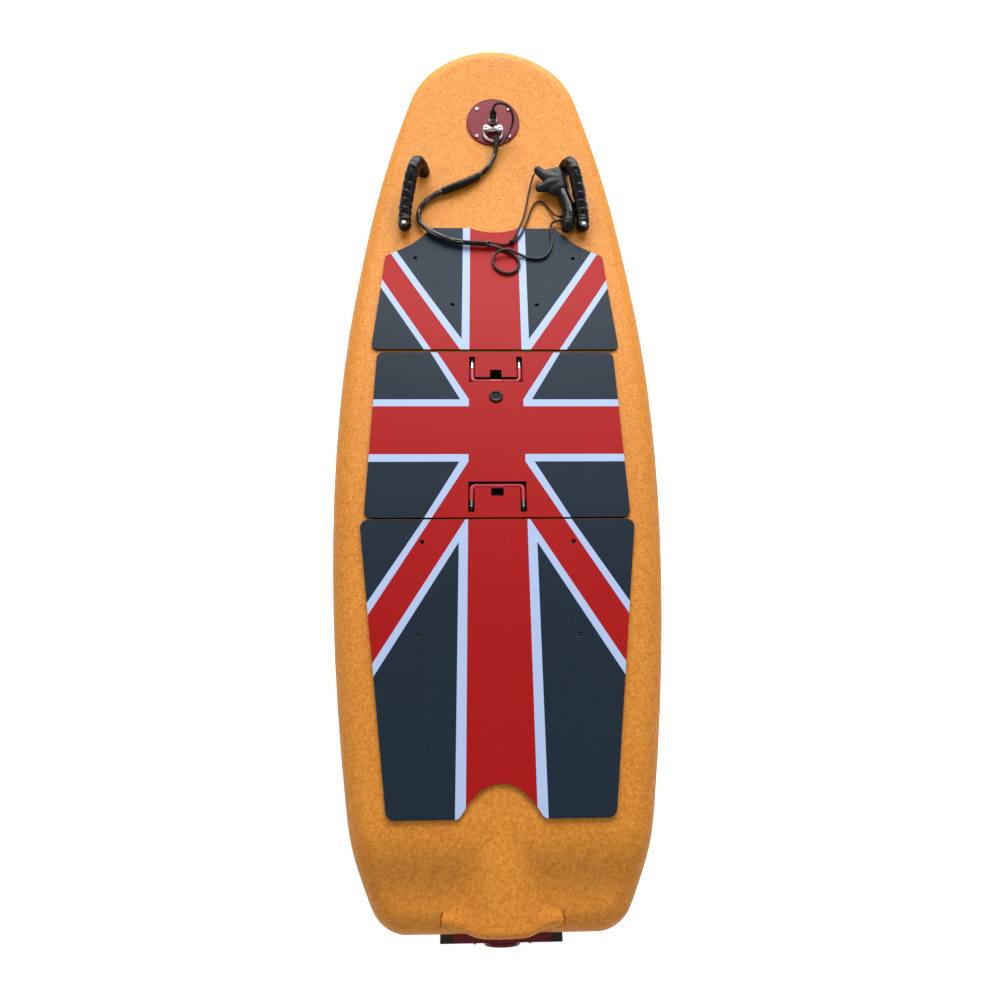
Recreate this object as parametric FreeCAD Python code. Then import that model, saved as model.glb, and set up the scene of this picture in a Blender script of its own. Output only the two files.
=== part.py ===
import FreeCAD, Part
import math
import os

# Motorized surfboard. Millimetres, X to the right, Y to the nose, Z up.
# It is drawn with Y = 0 at the middle of the battery lid and Z = 0 at the flat bottom,
# and is stored with its origin at the bottom centre of its box.

V = FreeCAD.Vector
X_AXIS = V(1, 0, 0)
Y_AXIS = V(0, 1, 0)

# Hull outline from above: arcs that each carry on from the one before, starting at the widest place.
# Columns: radius, heading in degrees where the arc ends (0 is straight along the board).
half_width = 323.2
widest_y = 115
nose_arcs = [(3400, 7.6), (1780, 19.5), (176.93, 56)]
tail_arcs = [(4088, 11.24), (491, 27.1)]
tail_corner_radius = 64.1

# Hull from the side
deck_z = 150
deck_curve_y = 330
deck_curve_radius = 1950
rocker_y = 250
nose_edge_height = 12.8
tail_step_y = -700
tail_step_length = 120
tail_step_drop = 30
top_rail_radius = 42
bottom_rail_radius = 24
nose_thickness = top_rail_radius + bottom_rail_radius + nose_edge_height

# Hump over the pump. Columns: place along the board, half width where it meets the deck, height of its crest.
hump_overhang = 8
hump_depth = 40
hump_edge_radius = 9
hump_sections = [(-716, 14, 150.6), (-728, 36, 150.8), (-752, 60, 151), (-786, 77, 151), (-820, 88, 150)]

# Deck pads. Columns of the corner tables: to the side, along the board, corner radius.
pad_thickness = 5
pad_corner = 14
front_pad_y = 197
front_pad_end_y = 535.5
rear_pad_y = -193
rear_pad_end_y = -692
front_notch_radius = 130
front_notch_depth = 12
rear_notch_radius = 55
front_pad_corners = [
    (261, front_pad_y, pad_corner), (246, 455, 7), (186, 489, 120), (141, front_pad_end_y, 3)]
rear_pad_corners = [
    (255, rear_pad_y, pad_corner), (176, rear_pad_end_y, pad_corner), (66, rear_pad_end_y, 12),
    (47, rear_pad_end_y + 28, 0)]
band_half_width = 55
stripe_width = 16.5

# Lid
lid_half_width = 246
lid_half_length = 187.5
lid_thickness = 22
lid_gap = 2.5
lid_pad_overhang = 1.5
seal_width = 12
seal_thickness = 3
seal_inset = 14
bay_half_width = 172
bay_half_length = 160
bay_floor_z = 27

# Bails, one at each end of the lid
bail_rod = 9
bail_half_width = 49
bail_pivot_y = 172
bail_bar_y = 120.5
bail_depth = 3
bail_bend = 8
bail_pin = 5
bail_pin_reach = 11
bail_slot_clearance = 1.5
bail_slot_depth = 10
finger_slot_half_width = 12
finger_slot_length = 24
finger_slot_depth = 17
ferrule_length = 15
ferrule_wall = 0.9

valve_y = 78
valve_diameter = 28
valve_height = 3

# Drive
battery_size = (300, 290, 84)
motor_diameter = 84
motor_length = 165
motor_front_y = -190
pump_axis_z = 50
bore_radius = 38
shaft_radius = 6
plate_half_width = 99
plate_thickness = 6
plate_front_y = -370
intake_front_y = -392
intake_rear_y = -552
bar_width = 4
bar_count = 6
housing_half_width = 86
housing_front_y = -600
housing_rear_y = -860
housing_height = 82
plate_rear_y = housing_rear_y - 13
hub_radius = 14
pump_entry_length = 28
impeller_length = 44
impeller_y = housing_front_y - pump_entry_length - impeller_length / 2
tip_clearance = 1.5
blade_count = 4
stator_gap = 22
stator_length = 36
stator_cone_length = 36
stator_y = impeller_y - impeller_length / 2 - stator_gap - stator_length / 2
vane_count = 5
nozzle_radius = 28
nozzle_bore = 23
nozzle_gap = 34
nozzle_overhang = 18
nozzle_rear_y = housing_rear_y - nozzle_overhang
nozzle_front_y = stator_y - stator_length / 2 - stator_cone_length - nozzle_gap
fit_gap = 0.3

# Nose plate and what it carries
nose_plate_y = 833
nose_plate_diameter = 128
nose_plate_thickness = 6
nose_plate_seat = 1.8
nose_screw_x = 39
nose_screw_y = 37
screw_head_radius = 4.5
screw_head_height = 2
bracket_y = -22
ring_axis_height = 6.5
ring_radius = 23
ring_wire = 6
ring_leg = 5
connector_y = 2
connector_radius = 9
connector_height = 34

# Threaded deck inserts. Columns: distance to each side, place along the board.
insert_places = [(138, -237.5), (138, -409), (92, 318), (178.5, 450)]
insert_radius = 6
insert_bore = 2.5
insert_length = 20
insert_hole_radius = 4.5

# Hand straps. Columns: to the side, along the board, height above the deck.
strap_radius = 15
strap_route = [
    (204, 530, 15.3), (206, 556, 17), (196, 606, 39), (183, 656, 58), (171, 686, 42), (165, 696, -0.2)]
strap_foot_radius = 7
strap_foot_height = 29.2
strap_foot_place = (204, 523)
strap_screw_radius = 4

fin_box_x = 165
fin_box_y = -690
fin_box_size = (22, 130, 24)
fin_slot_size = (9, 108, 19)

# Cords. Columns: to the right, along the board, height of the middle above the deck.
tether_diameter = 15
tether_route = [
    (8, 781, 13), (8.5, 763, 12), (4, 737, 9), (-12, 704, 8), (-34, 680, 8), (-64, 660, 10), (-98, 645, 10),
    (-134, 629, 8), (-162, 606, 8), (-176, 577, 8), (-171, 546, 10), (-148, 518, 13.4), (-112, 497, 13.2),
    (-74, 487, 13.2), (-40, 484, 13.2), (-10, 484, 13.2)]
cable_diameter = 6
lead_route = [
    (0, 825, 40.1), (1, 822, 53), (9, 815, 66), (23, 813, 68), (36, 813, 61), (45, 811, 48), (48, 806, 36),
    (45, 798, 26), (37, 784, 19), (27, 771, 16), (17, 757, 14)]
control_route = [
    (-9.6, 480.6, 11), (8, 477, 9), (24, 470, 8.5), (38, 461, 8.5), (52, 448, 8.5), (58, 428, 8.5),
    (49, 410, 8.5),
    (29, 402, 8.5), (8, 411, 8.5), (-4, 430, 8.5), (-2, 450, 10), (12, 463, 16.5), (36, 465, 16.5),
    (60, 455, 9), (84, 446, 8.5), (106, 446, 8.5), (122, 458, 8.5), (131, 480, 8.5), (134, 506, 8.5),
    (131, 524, 8.5), (131, 538, 8.5), (134, 548, 8), (141, 553, 9), (152.3, 552, 12)]
bridle_diameter = 4.5
long_bridle_route = [
    (-9.6, 487.6, 12), (6, 488, 9), (22, 485, 8), (36, 489, 8), (46, 504, 8), (54, 524, 7.8), (63, 546, 7.8),
    (71, 572, 4), (77, 602, 4), (82, 630, 4), (87, 655, 7), (93, 672, 14),
    (96, 677.8, 16.1)]
short_bridle_route = [
    (44, 492, 10), (54, 502, 8), (64, 519, 7.9), (73, 541, 7.9), (80, 566, 4), (88, 594, 4), (101, 614, 4),
    (117, 613, 4), (129, 594, 4), (140, 572, 6), (152, 563, 12)]
knot_place = (41, 491)
knot_radius = 6

# Hand controller, lying flat. Places are along its own plane: to the right, along the board.
controller_thickness = 34
controller_lift = 0.6
controller_y = (522, 686)
grip_sections = [(161, 622, 16), (165, 598, 16.5), (168.5, 575, 16.5), (169, 552, 16.5), (167, 530, 16.5)]
head_outline = [(119, 679), (153, 685), (163, 660), (177, 626), (150, 616), (134, 622), (120, 645)]
horn_line = [(127, 667), (105, 680)]
horn_radius = 8
trigger_line = [(129, 635), (105, 633)]
trigger_radius = 9


def deckHeight(y):
    if y <= deck_curve_y:
        return deck_z
    return deck_z + deck_curve_radius - math.sqrt(deck_curve_radius ** 2 - (y - deck_curve_y) ** 2)


def flip(shape):
    return shape.mirror(V(0, 0, 0), X_AXIS)


def both(shape):
    return Part.makeCompound([shape, flip(shape)])


def box(x0, x1, y0, y1, z0, z1):
    return Part.makeBox(x1 - x0, y1 - y0, z1 - z0, V(x0, y0, z0))


def symmetricBox(half, y0, y1, z0, z1):
    return box(-half, half, y0, y1, z0, z1)


def rod(start, end, radius):
    return Part.makeCylinder(radius, (end - start).Length, start, end - start)


def closedFace(points):
    return Part.Face(Part.makePolygon([V(*p, 0) for p in points + points[:1]]))


# A closed outline of straight sides with a radius at each corner. Columns: x, y, radius.
def roundedOutline(corners):
    edges = []
    last = None
    first = None
    for index, (x, y, radius) in enumerate(corners):
        here = V(x, y, 0)
        back = (V(*corners[index - 1][:2], 0) - here).normalize()
        ahead = (V(*corners[(index + 1) % len(corners)][:2], 0) - here).normalize()
        if radius:
            half = back.getAngle(ahead) / 2
            reach = radius / math.tan(half)
            start = here + back * reach
            end = here + ahead * reach
            middle = here + (back + ahead).normalize() * (radius / math.sin(half) - radius)
        else:
            start = end = here
        if last is not None and (start - last).Length > 1e-6:
            edges.append(Part.LineSegment(last, start).toShape())
        if radius:
            edges.append(Part.Arc(start, middle, end).toShape())
        if first is None:
            first = start
        last = end
    if (first - last).Length > 1e-6:
        edges.append(Part.LineSegment(last, first).toShape())
    return Part.Wire(edges)


def roundedPlate(half_x, y0, y1, z0, z1, radius):
    corners = [(half_x, y0, radius), (half_x, y1, radius), (-half_x, y1, radius), (-half_x, y0, radius)]
    plate = Part.Face(roundedOutline(corners)).extrude(V(0, 0, z1 - z0))
    plate.translate(V(0, 0, z0))
    return plate


# One side of the hull outline as arcs, each given by its start, middle and end
def railArcs(arcs, direction):
    x, y, heading = half_width, widest_y, 0
    found = []
    for radius, degrees in arcs:
        end = math.radians(degrees)
        points = []
        for angle in (heading, (heading + end) / 2, end):
            points.append(V(x - radius * (math.cos(heading) - math.cos(angle)),
                            y + direction * radius * (math.sin(angle) - math.sin(heading)), 0))
        found.append(points)
        x, y, heading = points[2].x, points[2].y, end
    return found


def hullOutline():
    ahead = railArcs(nose_arcs, 1)
    behind = railArcs(tail_arcs + [(tail_corner_radius, 90)], -1)
    right = [points[::-1] for points in behind[::-1]] + ahead
    left = [[V(-p.x, p.y, 0) for p in points[::-1]] for points in right[::-1]]
    edges = [Part.Arc(*points).toShape() for points in right]
    shoulder = ahead[-1][2]
    nose_radius = shoulder.x / math.cos(math.radians(nose_arcs[-1][1]))
    tip = V(0, shoulder.y + nose_radius - math.sqrt(nose_radius ** 2 - shoulder.x ** 2), 0)
    edges.append(Part.Arc(shoulder, tip, V(-shoulder.x, shoulder.y, 0)).toShape())
    edges += [Part.Arc(*points).toShape() for points in left]
    corner = behind[-1][2]
    edges.append(Part.LineSegment(V(-corner.x, corner.y, 0), corner).toShape())
    return Part.Wire(edges), tip.y, corner.y


outline, nose_y, transom_y = hullOutline()
middle_y = (nose_y + nozzle_rear_y) / 2
reach = half_width + 20


# Five points of two equal arcs that leave one level and reach another, each level at its own end
def easedStep(start, end):
    run = end[0] - start[0]
    rise = end[1] - start[1]
    slope = math.atan2(abs(rise), abs(run))
    radius = math.hypot(run, rise) / 4 / math.sin(slope)
    along = math.copysign(radius * math.sin(slope), run)
    up = math.copysign(radius * (1 - math.cos(slope)), rise)
    middle = ((start[0] + end[0]) / 2, (start[1] + end[1]) / 2)
    return [start, (start[0] + along, start[1] + up), middle, (end[0] - along, end[1] - up), end]


# Height of the deck where it steps down to the tail
def tailHeight(y):
    low = deck_z - tail_step_drop
    slope = math.atan2(tail_step_drop, tail_step_length)
    radius = math.hypot(tail_step_length, tail_step_drop) / 4 / math.sin(slope)
    behind = tail_step_y - y
    left = tail_step_length - behind
    if behind <= 0:
        return deck_z
    if left <= 0:
        return low
    if behind < left:
        return deck_z - radius + math.sqrt(radius ** 2 - behind ** 2)
    return low + radius - math.sqrt(radius ** 2 - left ** 2)


# Side view of the hull, in the plane X = -reach
def sideProfile():
    def at(y, z):
        return V(-reach, y, z)
    front = nose_y + 10
    back = transom_y - 10
    nose_rise = deckHeight(nose_y) - nose_thickness
    rocker_radius = ((nose_y - rocker_y) ** 2 + nose_rise ** 2) / (2 * nose_rise)
    rocker_rise = rocker_radius - math.sqrt(rocker_radius ** 2 - (front - rocker_y) ** 2)
    rocker_middle = (front + rocker_y) / 2
    rocker_middle_z = rocker_radius - math.sqrt(rocker_radius ** 2 - (rocker_middle - rocker_y) ** 2)
    deck_middle = (front + deck_curve_y) / 2
    low = deck_z - tail_step_drop
    step = [at(*point) for point in easedStep((tail_step_y, deck_z), (tail_step_y - tail_step_length, low))]
    edges = [
        Part.LineSegment(at(back, 0), at(rocker_y, 0)),
        Part.Arc(at(rocker_y, 0), at(rocker_middle, rocker_middle_z), at(front, rocker_rise)),
        Part.LineSegment(at(front, rocker_rise), at(front, deckHeight(front))),
        Part.Arc(at(front, deckHeight(front)), at(deck_middle, deckHeight(deck_middle)),
                 at(deck_curve_y, deck_z)),
        Part.LineSegment(at(deck_curve_y, deck_z), at(tail_step_y, deck_z)),
        Part.Arc(*step[:3]),
        Part.Arc(*step[2:]),
        Part.LineSegment(step[-1], at(back, low)),
        Part.LineSegment(at(back, low), at(back, 0))]
    return Part.Wire([edge.toShape() for edge in edges])


def hullBody():
    plan = Part.Face(outline).extrude(V(0, 0, 2.5 * deck_z))
    side = Part.Face(sideProfile()).extrude(V(2 * reach, 0, 0))
    body = plan.common(side)
    top = []
    bottom = []
    for edge in body.Edges:
        middle = edge.valueAt((edge.FirstParameter + edge.LastParameter) / 2)
        faces = body.ancestorsOfType(edge, Part.Face)
        upright = [abs(face.normalAt(*face.Surface.parameter(middle)).z) < 0.01 for face in faces]
        if sum(upright) != 1:
            continue
        if middle.z > (deckHeight(middle.y) - tail_step_drop - 5):
            top.append(edge)
        else:
            bottom.append(edge)
    body = body.makeFillet(top_rail_radius, top)
    return body, bottom


def tailHump():
    rear = transom_y - hump_overhang
    bottom = deck_z - hump_depth
    last_half, last_crest = hump_sections[-1][1:]
    wires = []
    for y, half, crest in hump_sections + [(rear, last_half, last_crest)]:
        base = tailHeight(y) - fit_gap
        right = [V(x, y, z) for x, z in easedStep((half, base), (0, crest))]
        left = [V(-p.x, y, p.z) for p in right[::-1]]
        corners = [V(-half, y, bottom), V(half, y, bottom)]
        wires.append(Part.Wire([
            Part.Arc(*right[:3]).toShape(), Part.Arc(*right[2:]).toShape(),
            Part.Arc(*left[:3]).toShape(), Part.Arc(*left[2:]).toShape(),
            Part.LineSegment(left[-1], corners[0]).toShape(),
            Part.LineSegment(corners[0], corners[1]).toShape(),
            Part.LineSegment(corners[1], right[0]).toShape()]))
    hump = Part.makeLoft(wires, True, False)
    edges = []
    for edge in hump.Edges:
        ends = [vertex.Point for vertex in edge.Vertexes]
        at_rear = all(abs(p.y - rear) < 0.01 for p in ends)
        if at_rear and max(p.z for p in ends) > bottom + 1 and abs(ends[0].x - ends[1].x) > 1:
            edges.append(edge)
    return hump.makeFillet(hump_edge_radius, edges)


def skin(low, high):
    start = tail_step_y
    end = front_pad_end_y + 40

    def at(y, offset):
        if y <= deck_curve_y:
            return V(-reach, y, deck_z + offset)
        radius = deck_curve_radius - offset
        angle = math.asin((y - deck_curve_y) / deck_curve_radius)
        return V(-reach, deck_curve_y + radius * math.sin(angle),
                 deck_z + deck_curve_radius - radius * math.cos(angle))
    middle = (deck_curve_y + end) / 2
    edges = [
        Part.LineSegment(at(start, low), at(deck_curve_y, low)),
        Part.Arc(at(deck_curve_y, low), at(middle, low), at(end, low)),
        Part.LineSegment(at(end, low), at(end, high)),
        Part.Arc(at(end, high), at(middle, high), at(deck_curve_y, high)),
        Part.LineSegment(at(deck_curve_y, high), at(start, high)),
        Part.LineSegment(at(start, high), at(start, low))]
    return Part.Face(Part.Wire([edge.toShape() for edge in edges])).extrude(V(2 * reach, 0, 0))


def prism(face):
    solid = face.extrude(V(0, 0, 200))
    solid.translate(V(0, 0, deck_z - 20))
    return solid


def frontPadFace():
    left = [(-x, y, radius) for x, y, radius in front_pad_corners[::-1]]
    ends = [(0, front_pad_y, 0)], [(0, front_pad_end_y, 0)]
    face = Part.Face(roundedOutline(ends[0] + front_pad_corners + ends[1] + left))
    r = front_notch_radius
    notch = Part.Face(Part.Wire(Part.makeCircle(r, V(0, front_pad_end_y - front_notch_depth + r, 0))))
    return face.cut(notch)


def rearPadFace():
    left = [(-x, y, radius) for x, y, radius in rear_pad_corners[::-1]]
    ends = [(0, rear_pad_y, 0)], [(0, rear_pad_corners[-1][1], 0)]
    face = Part.Face(roundedOutline(ends[0] + rear_pad_corners + ends[1] + left))
    notch = Part.Face(Part.Wire(Part.makeCircle(rear_notch_radius, V(0, rear_pad_end_y - 5, 0))))
    return face.cut(notch)


def lidPadFace():
    x = lid_half_width + lid_pad_overhang
    y = lid_half_length + lid_pad_overhang
    corners = [(x, -y, pad_corner), (x, y, pad_corner), (-x, y, pad_corner), (-x, -y, pad_corner)]
    return Part.Face(roundedOutline(corners))


# Lines of the crossed pattern on the right side. Each is x, y at its inner end and x, y at its outer end.
front_lines = {
    "inner": (74.5, 197, 238, 469), "inner_edge": (72, 224, 228, 480),
    "outer": (135.5, 197, 268, 420), "outer_edge": (150.5, 197, 270, 398)}
rear_lines = {
    "inner": (60, -193, 226, -477), "inner_edge": (71.5, -238, 224, -501),
    "outer": (124, -193, 250, -413), "outer_edge": (137, -193, 255, -393)}


def ahead_of(line, length):
    x0, y0, x1, y1 = line
    return x1 + (x1 - x0) * length, y1 + (y1 - y0) * length


# Red and white areas of an end pad; what is left of the pad is grey
def endPadAreas(lines, start_y, end_y):
    names = ("inner", "inner_edge", "outer", "outer_edge")
    inner, inner_edge, outer, outer_edge = [lines[name] for name in names]
    edge_x = band_half_width + stripe_width
    red = [
        closedFace([(0, start_y), (band_half_width, start_y), (band_half_width, end_y), (0, end_y)]),
        closedFace([inner[:2], outer[:2], ahead_of(outer, 0.3), ahead_of(inner, 0.3)])]
    white = [
        closedFace([(band_half_width, start_y), inner[:2], ahead_of(inner, 0.3), ahead_of(inner_edge, 0.3),
                    (edge_x, inner_edge[1]), (edge_x, end_y), (band_half_width, end_y)]),
        closedFace([outer[:2], outer_edge[:2], ahead_of(outer_edge, 0.3), ahead_of(outer, 0.3)])]
    return red, white


def lidAreas():
    b = band_half_width
    e = band_half_width + stripe_width
    top = lid_half_length + lid_pad_overhang
    out = lid_half_width + 20
    red = [closedFace([(0, -top), (122, -top), (b, -e), (b, -b), (out, -b), (out, b), (b, b), (b, e),
                       (122, top), (0, top)])]
    white = []
    for s in (1, -1):
        white.append(closedFace([(b, s * b), (out, s * b), (out, s * e), (e + 1, s * e), (136, s * top),
                                 (122, s * top), (b, s * e)]))
    return red, white


def rodHole(x, y, radius):
    return Part.makeCylinder(radius, 200, V(x, y, deck_z - 100))


# Splits a pad into its three colours
def splitPad(pad, areas):
    red_areas, white_areas = areas
    red = None
    for area in red_areas:
        piece = prism(area)
        whole = piece.fuse(flip(piece))
        red = whole if red is None else red.fuse(whole)
    white = None
    for area in white_areas:
        piece = prism(area)
        whole = piece.fuse(flip(piece))
        white = whole if white is None else white.fuse(whole)
    white = white.cut(red)
    return {
        "red": pad.common(red).removeSplitter(),
        "white": pad.common(white).removeSplitter(),
        "grey": pad.cut(red).cut(white).removeSplitter()}


def bailSlots(depth, finger_depth):
    slot = bail_rod / 2 + bail_slot_clearance
    low = deck_z - depth
    high = deck_z + 40
    cut = None
    for side in (1, -1):
        leg = box(bail_half_width - slot, bail_half_width + slot, bail_bar_y - slot,
                  bail_pivot_y + bail_rod / 2 + bail_slot_clearance, low, high)
        bar = symmetricBox(bail_half_width + slot, bail_bar_y - slot, bail_bar_y + slot, low, high)
        finger = symmetricBox(finger_slot_half_width, bail_bar_y, bail_bar_y + finger_slot_length,
                              deck_z - finger_depth, high)
        shape = leg.fuse([flip(leg), bar, finger])
        if side < 0:
            shape = shape.mirror(V(0, 0, 0), Y_AXIS)
        cut = shape if cut is None else cut.fuse(shape)
    return cut


def pinHoles():
    holes = []
    z = deck_z - bail_depth
    for x in (bail_half_width, -bail_half_width):
        for y in (bail_pivot_y, -bail_pivot_y):
            direction = 1 if x > 0 else -1
            start = V(x, y, z)
            holes.append(
                Part.makeCylinder(bail_pin / 2 + 0.1, bail_pin_reach + 0.5, start, V(direction, 0, 0)))
    return holes


# A bail modelled at the nose end, mirrored for the tail end
def bailPieces():
    z = deck_z - bail_depth
    bend = bail_bend
    r = bail_rod / 2
    x = bail_half_width
    rod_end = bail_pivot_y + r - 0.5
    ferrule_start = rod_end - ferrule_length - 10
    leg_end = V(x, ferrule_start, z)
    c = math.cos(math.pi / 4)
    corner = V(x, bail_bar_y, z)
    arc_start = corner + V(0, bend, 0)
    arc_end = corner + V(-bend, 0, 0)
    arc_middle = corner + V(-bend + bend * c, bend - bend * c, 0)
    path = [
        Part.LineSegment(leg_end, arc_start).toShape(),
        Part.Arc(arc_start, arc_middle, arc_end).toShape(),
        Part.LineSegment(arc_end, V(-arc_end.x, arc_end.y, z)).toShape(),
        Part.Arc(
            V(-arc_end.x, arc_end.y, z), V(-arc_middle.x, arc_middle.y, z), V(-x, arc_start.y, z)).toShape(),
        Part.LineSegment(V(-x, arc_start.y, z), V(-x, ferrule_start, z)).toShape()]
    profile = Part.Wire(Part.makeCircle(r, leg_end, Y_AXIS))
    handle = Part.Wire(path).makePipeShell([profile], True, False)
    ends = []
    for side in (1, -1):
        end = rod(V(side * x, ferrule_start, z), V(side * x, rod_end, z), r - ferrule_wall / 2)
        pin_end = V(side * (x + bail_pin_reach), bail_pivot_y, z)
        pin = rod(V(side * (x - 1), bail_pivot_y, z), pin_end, bail_pin / 2)
        ends.append(end.fuse(pin))
    return handle, Part.makeCompound(ends)


def intakeDuct():
    half = bore_radius
    roof = pump_axis_z + bore_radius
    low = pump_axis_z - bore_radius
    points = [
        (intake_front_y, -1), (intake_front_y, plate_thickness), (intake_rear_y + 10, roof),
        (housing_front_y - 1, roof), (housing_front_y - 1, low), (intake_rear_y, plate_thickness),
        (intake_rear_y, -1)]
    wire = Part.makePolygon([V(-half, y, z) for y, z in points + points[:1]])
    return Part.Face(wire).extrude(V(2 * half, 0, 0))


def insertPlaces():
    for x, y in insert_places:
        for side in (1, -1):
            yield side * x, y


# The plane of the nose plate, tangent to the deck
def onNose(shape):
    tilt = math.degrees(math.asin((nose_plate_y - deck_curve_y) / deck_curve_radius))
    moved = shape.copy()
    moved.rotate(V(0, 0, 0), X_AXIS, tilt)
    moved.translate(V(0, nose_plate_y, deckHeight(nose_plate_y)))
    return moved


def buildHull():
    body, bottom = hullBody()
    body = body.makeFillet(bottom_rail_radius, nearEdges(body, bottom))
    body = body.fuse(tailHump())
    recess = roundedPlate(lid_half_width + lid_gap, -lid_half_length - lid_gap, lid_half_length + lid_gap,
                          deck_z - lid_thickness - seal_thickness, deck_z + 5, pad_corner + lid_gap)
    bay = symmetricBox(bay_half_width, -bay_half_length, bay_half_length, bay_floor_z, deck_z)
    motor_bay = rod(V(0, -bay_half_length + 1, pump_axis_z),
                    V(0, motor_front_y - motor_length - fit_gap, pump_axis_z), motor_diameter / 2 + fit_gap)
    shaft_tunnel = rod(V(0, motor_front_y - motor_length, pump_axis_z), V(0, housing_front_y, pump_axis_z),
                       shaft_radius + 3)
    plate_seat = symmetricBox(
        plate_half_width + fit_gap, transom_y - 40, plate_front_y + fit_gap, -1, plate_thickness)
    pump_bay = symmetricBox(housing_half_width + fit_gap, transom_y - 40, housing_front_y + fit_gap, -1,
                            plate_thickness + housing_height + fit_gap)
    plate_pocket = onNose(Part.makeCylinder(nose_plate_diameter / 2 + fit_gap, 20, V(0, 0, -nose_plate_seat)))
    tools = [recess, bay, motor_bay, shaft_tunnel, plate_seat, pump_bay, intakeDuct(), plate_pocket]
    for x, y in insertPlaces():
        foot = V(x, y, deckHeight(y) - insert_length)
        tools.append(Part.makeCylinder(insert_radius + 0.1, insert_length + 20, foot))
    width, length, depth = fin_box_size
    for side in (1, -1):
        tools.append(box(side * fin_box_x - width / 2, side * fin_box_x + width / 2, fin_box_y - length / 2,
                         fin_box_y + length / 2, -1, depth))
    return body.cut(tools)


# Finds again, after a fillet, the edges that lie where the given ones were
def nearEdges(body, wanted):
    middles = [edge.valueAt((edge.FirstParameter + edge.LastParameter) / 2) for edge in wanted]
    found = []
    for edge in body.Edges:
        middle = edge.valueAt((edge.FirstParameter + edge.LastParameter) / 2)
        if min((middle - other).Length for other in middles) < 2:
            found.append(edge)
    return found


def buildLid():
    core = roundedPlate(
        lid_half_width, -lid_half_length, lid_half_length, deck_z - lid_thickness, deck_z, pad_corner)
    valve_hole = Part.makeCylinder(valve_diameter / 2 - 4, 30, V(0, valve_y, deck_z - 12))
    return core.cut([bailSlots(bail_slot_depth, finger_slot_depth), valve_hole] + pinHoles())


def buildSeal():
    outer = roundedPlate(bay_half_width + seal_inset, -bay_half_length - seal_inset, bay_half_length + seal_inset,
                         deck_z - lid_thickness - seal_thickness, deck_z - lid_thickness, pad_corner)
    inset = seal_inset - seal_width
    inner = roundedPlate(bay_half_width + inset, -bay_half_length - inset, bay_half_length + inset,
                         0, deck_z, pad_corner - seal_width + 8)
    return outer.cut(inner)


def buildValve():
    cap = Part.makeCylinder(valve_diameter / 2, pad_thickness + valve_height, V(0, valve_y, deck_z))
    stem = Part.makeCylinder(valve_diameter / 2 - 4.3, 11, V(0, valve_y, deck_z - 11))
    return cap.fuse(stem)


def buildPads():
    band = skin(0, pad_thickness)
    holes = [rodHole(x, y, insert_hole_radius) for x, y in insertPlaces()]
    front = band.common(prism(frontPadFace())).cut(holes)
    rear = band.common(prism(rearPadFace())).cut(holes)
    lid = band.common(prism(lidPadFace()))
    lid = lid.cut([bailSlots(bail_slot_depth, finger_slot_depth),
                   Part.makeCylinder(valve_diameter / 2 + fit_gap, 60, V(0, valve_y, deck_z - 10))])
    pads = {
        "front": splitPad(front, endPadAreas(front_lines, front_pad_y, front_pad_end_y + 10)),
        "lid": splitPad(lid, lidAreas()),
        "rear": splitPad(rear, endPadAreas(rear_lines, rear_pad_y, rear_pad_end_y - 10))}
    return pads


def buildRidePlate():
    plate = symmetricBox(plate_half_width, plate_rear_y, plate_front_y, 0, plate_thickness)
    intake = symmetricBox(bore_radius, intake_rear_y, intake_front_y, -1, plate_thickness + 1)
    return plate.cut(intake)


def buildGrille():
    bars = []
    pitch = 2 * bore_radius / (bar_count + 1)
    cross = symmetricBox(bore_radius, intake_front_y - 8, intake_front_y, 0, plate_thickness)
    grille = cross.fuse(symmetricBox(bore_radius, intake_rear_y, intake_rear_y + 8, 0, plate_thickness))
    for index in range(bar_count):
        x = -bore_radius + pitch * (index + 1)
        left, right = x - bar_width / 2, x + bar_width / 2
        bars.append(box(left, right, intake_rear_y, intake_front_y, 0, plate_thickness))
    return grille.fuse(bars).removeSplitter()


def buildHousing():
    front = housing_front_y
    rear = housing_rear_y
    top = plate_thickness + housing_height
    taper = 14
    half = housing_half_width
    corners = [
        (half, front), (half, rear + 40), (half - taper, rear),
        (-half + taper, rear), (-half, rear + 40), (-half, front)]
    block = closedFace(corners).extrude(V(0, 0, top - plate_thickness))
    block.translate(V(0, 0, plate_thickness))
    duct = rod(V(0, front + 1, pump_axis_z), V(0, nozzle_front_y, pump_axis_z), bore_radius)
    seat = rod(V(0, nozzle_front_y + 1, pump_axis_z), V(0, rear - 1, pump_axis_z), nozzle_radius + 0.1)
    return block.cut([duct, seat])


def buildNozzle():
    outside = rod(V(0, nozzle_front_y, pump_axis_z), V(0, nozzle_rear_y, pump_axis_z), nozzle_radius)
    bore = rod(V(0, nozzle_front_y + 1, pump_axis_z), V(0, nozzle_rear_y - 1, pump_axis_z), nozzle_bore)
    funnel = Part.makeCone(nozzle_radius - 0.8, nozzle_bore, 24, V(0, nozzle_front_y, pump_axis_z), -Y_AXIS)
    return outside.cut([bore, funnel])


def twistedBlade(start_y, length, inner, outer, thickness, turn):
    sections = []
    for step in range(3):
        y = start_y - length / 2 + length * step / 2
        section = Part.makePolygon([
            V(-thickness / 2, y, inner), V(thickness / 2, y, inner), V(thickness / 2, y, outer),
            V(-thickness / 2, y, outer), V(-thickness / 2, y, inner)])
        section.rotate(V(0, 0, 0), Y_AXIS, turn * step / 2)
        sections.append(section)
    blade = Part.makeLoft(sections, True, True)
    blade.translate(V(0, 0, pump_axis_z))
    return blade


def aroundPump(shape, count):
    copies = []
    for index in range(count):
        copy = shape.copy()
        copy.rotate(V(0, 0, pump_axis_z), Y_AXIS, 360 * index / count)
        copies.append(copy)
    return copies


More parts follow.
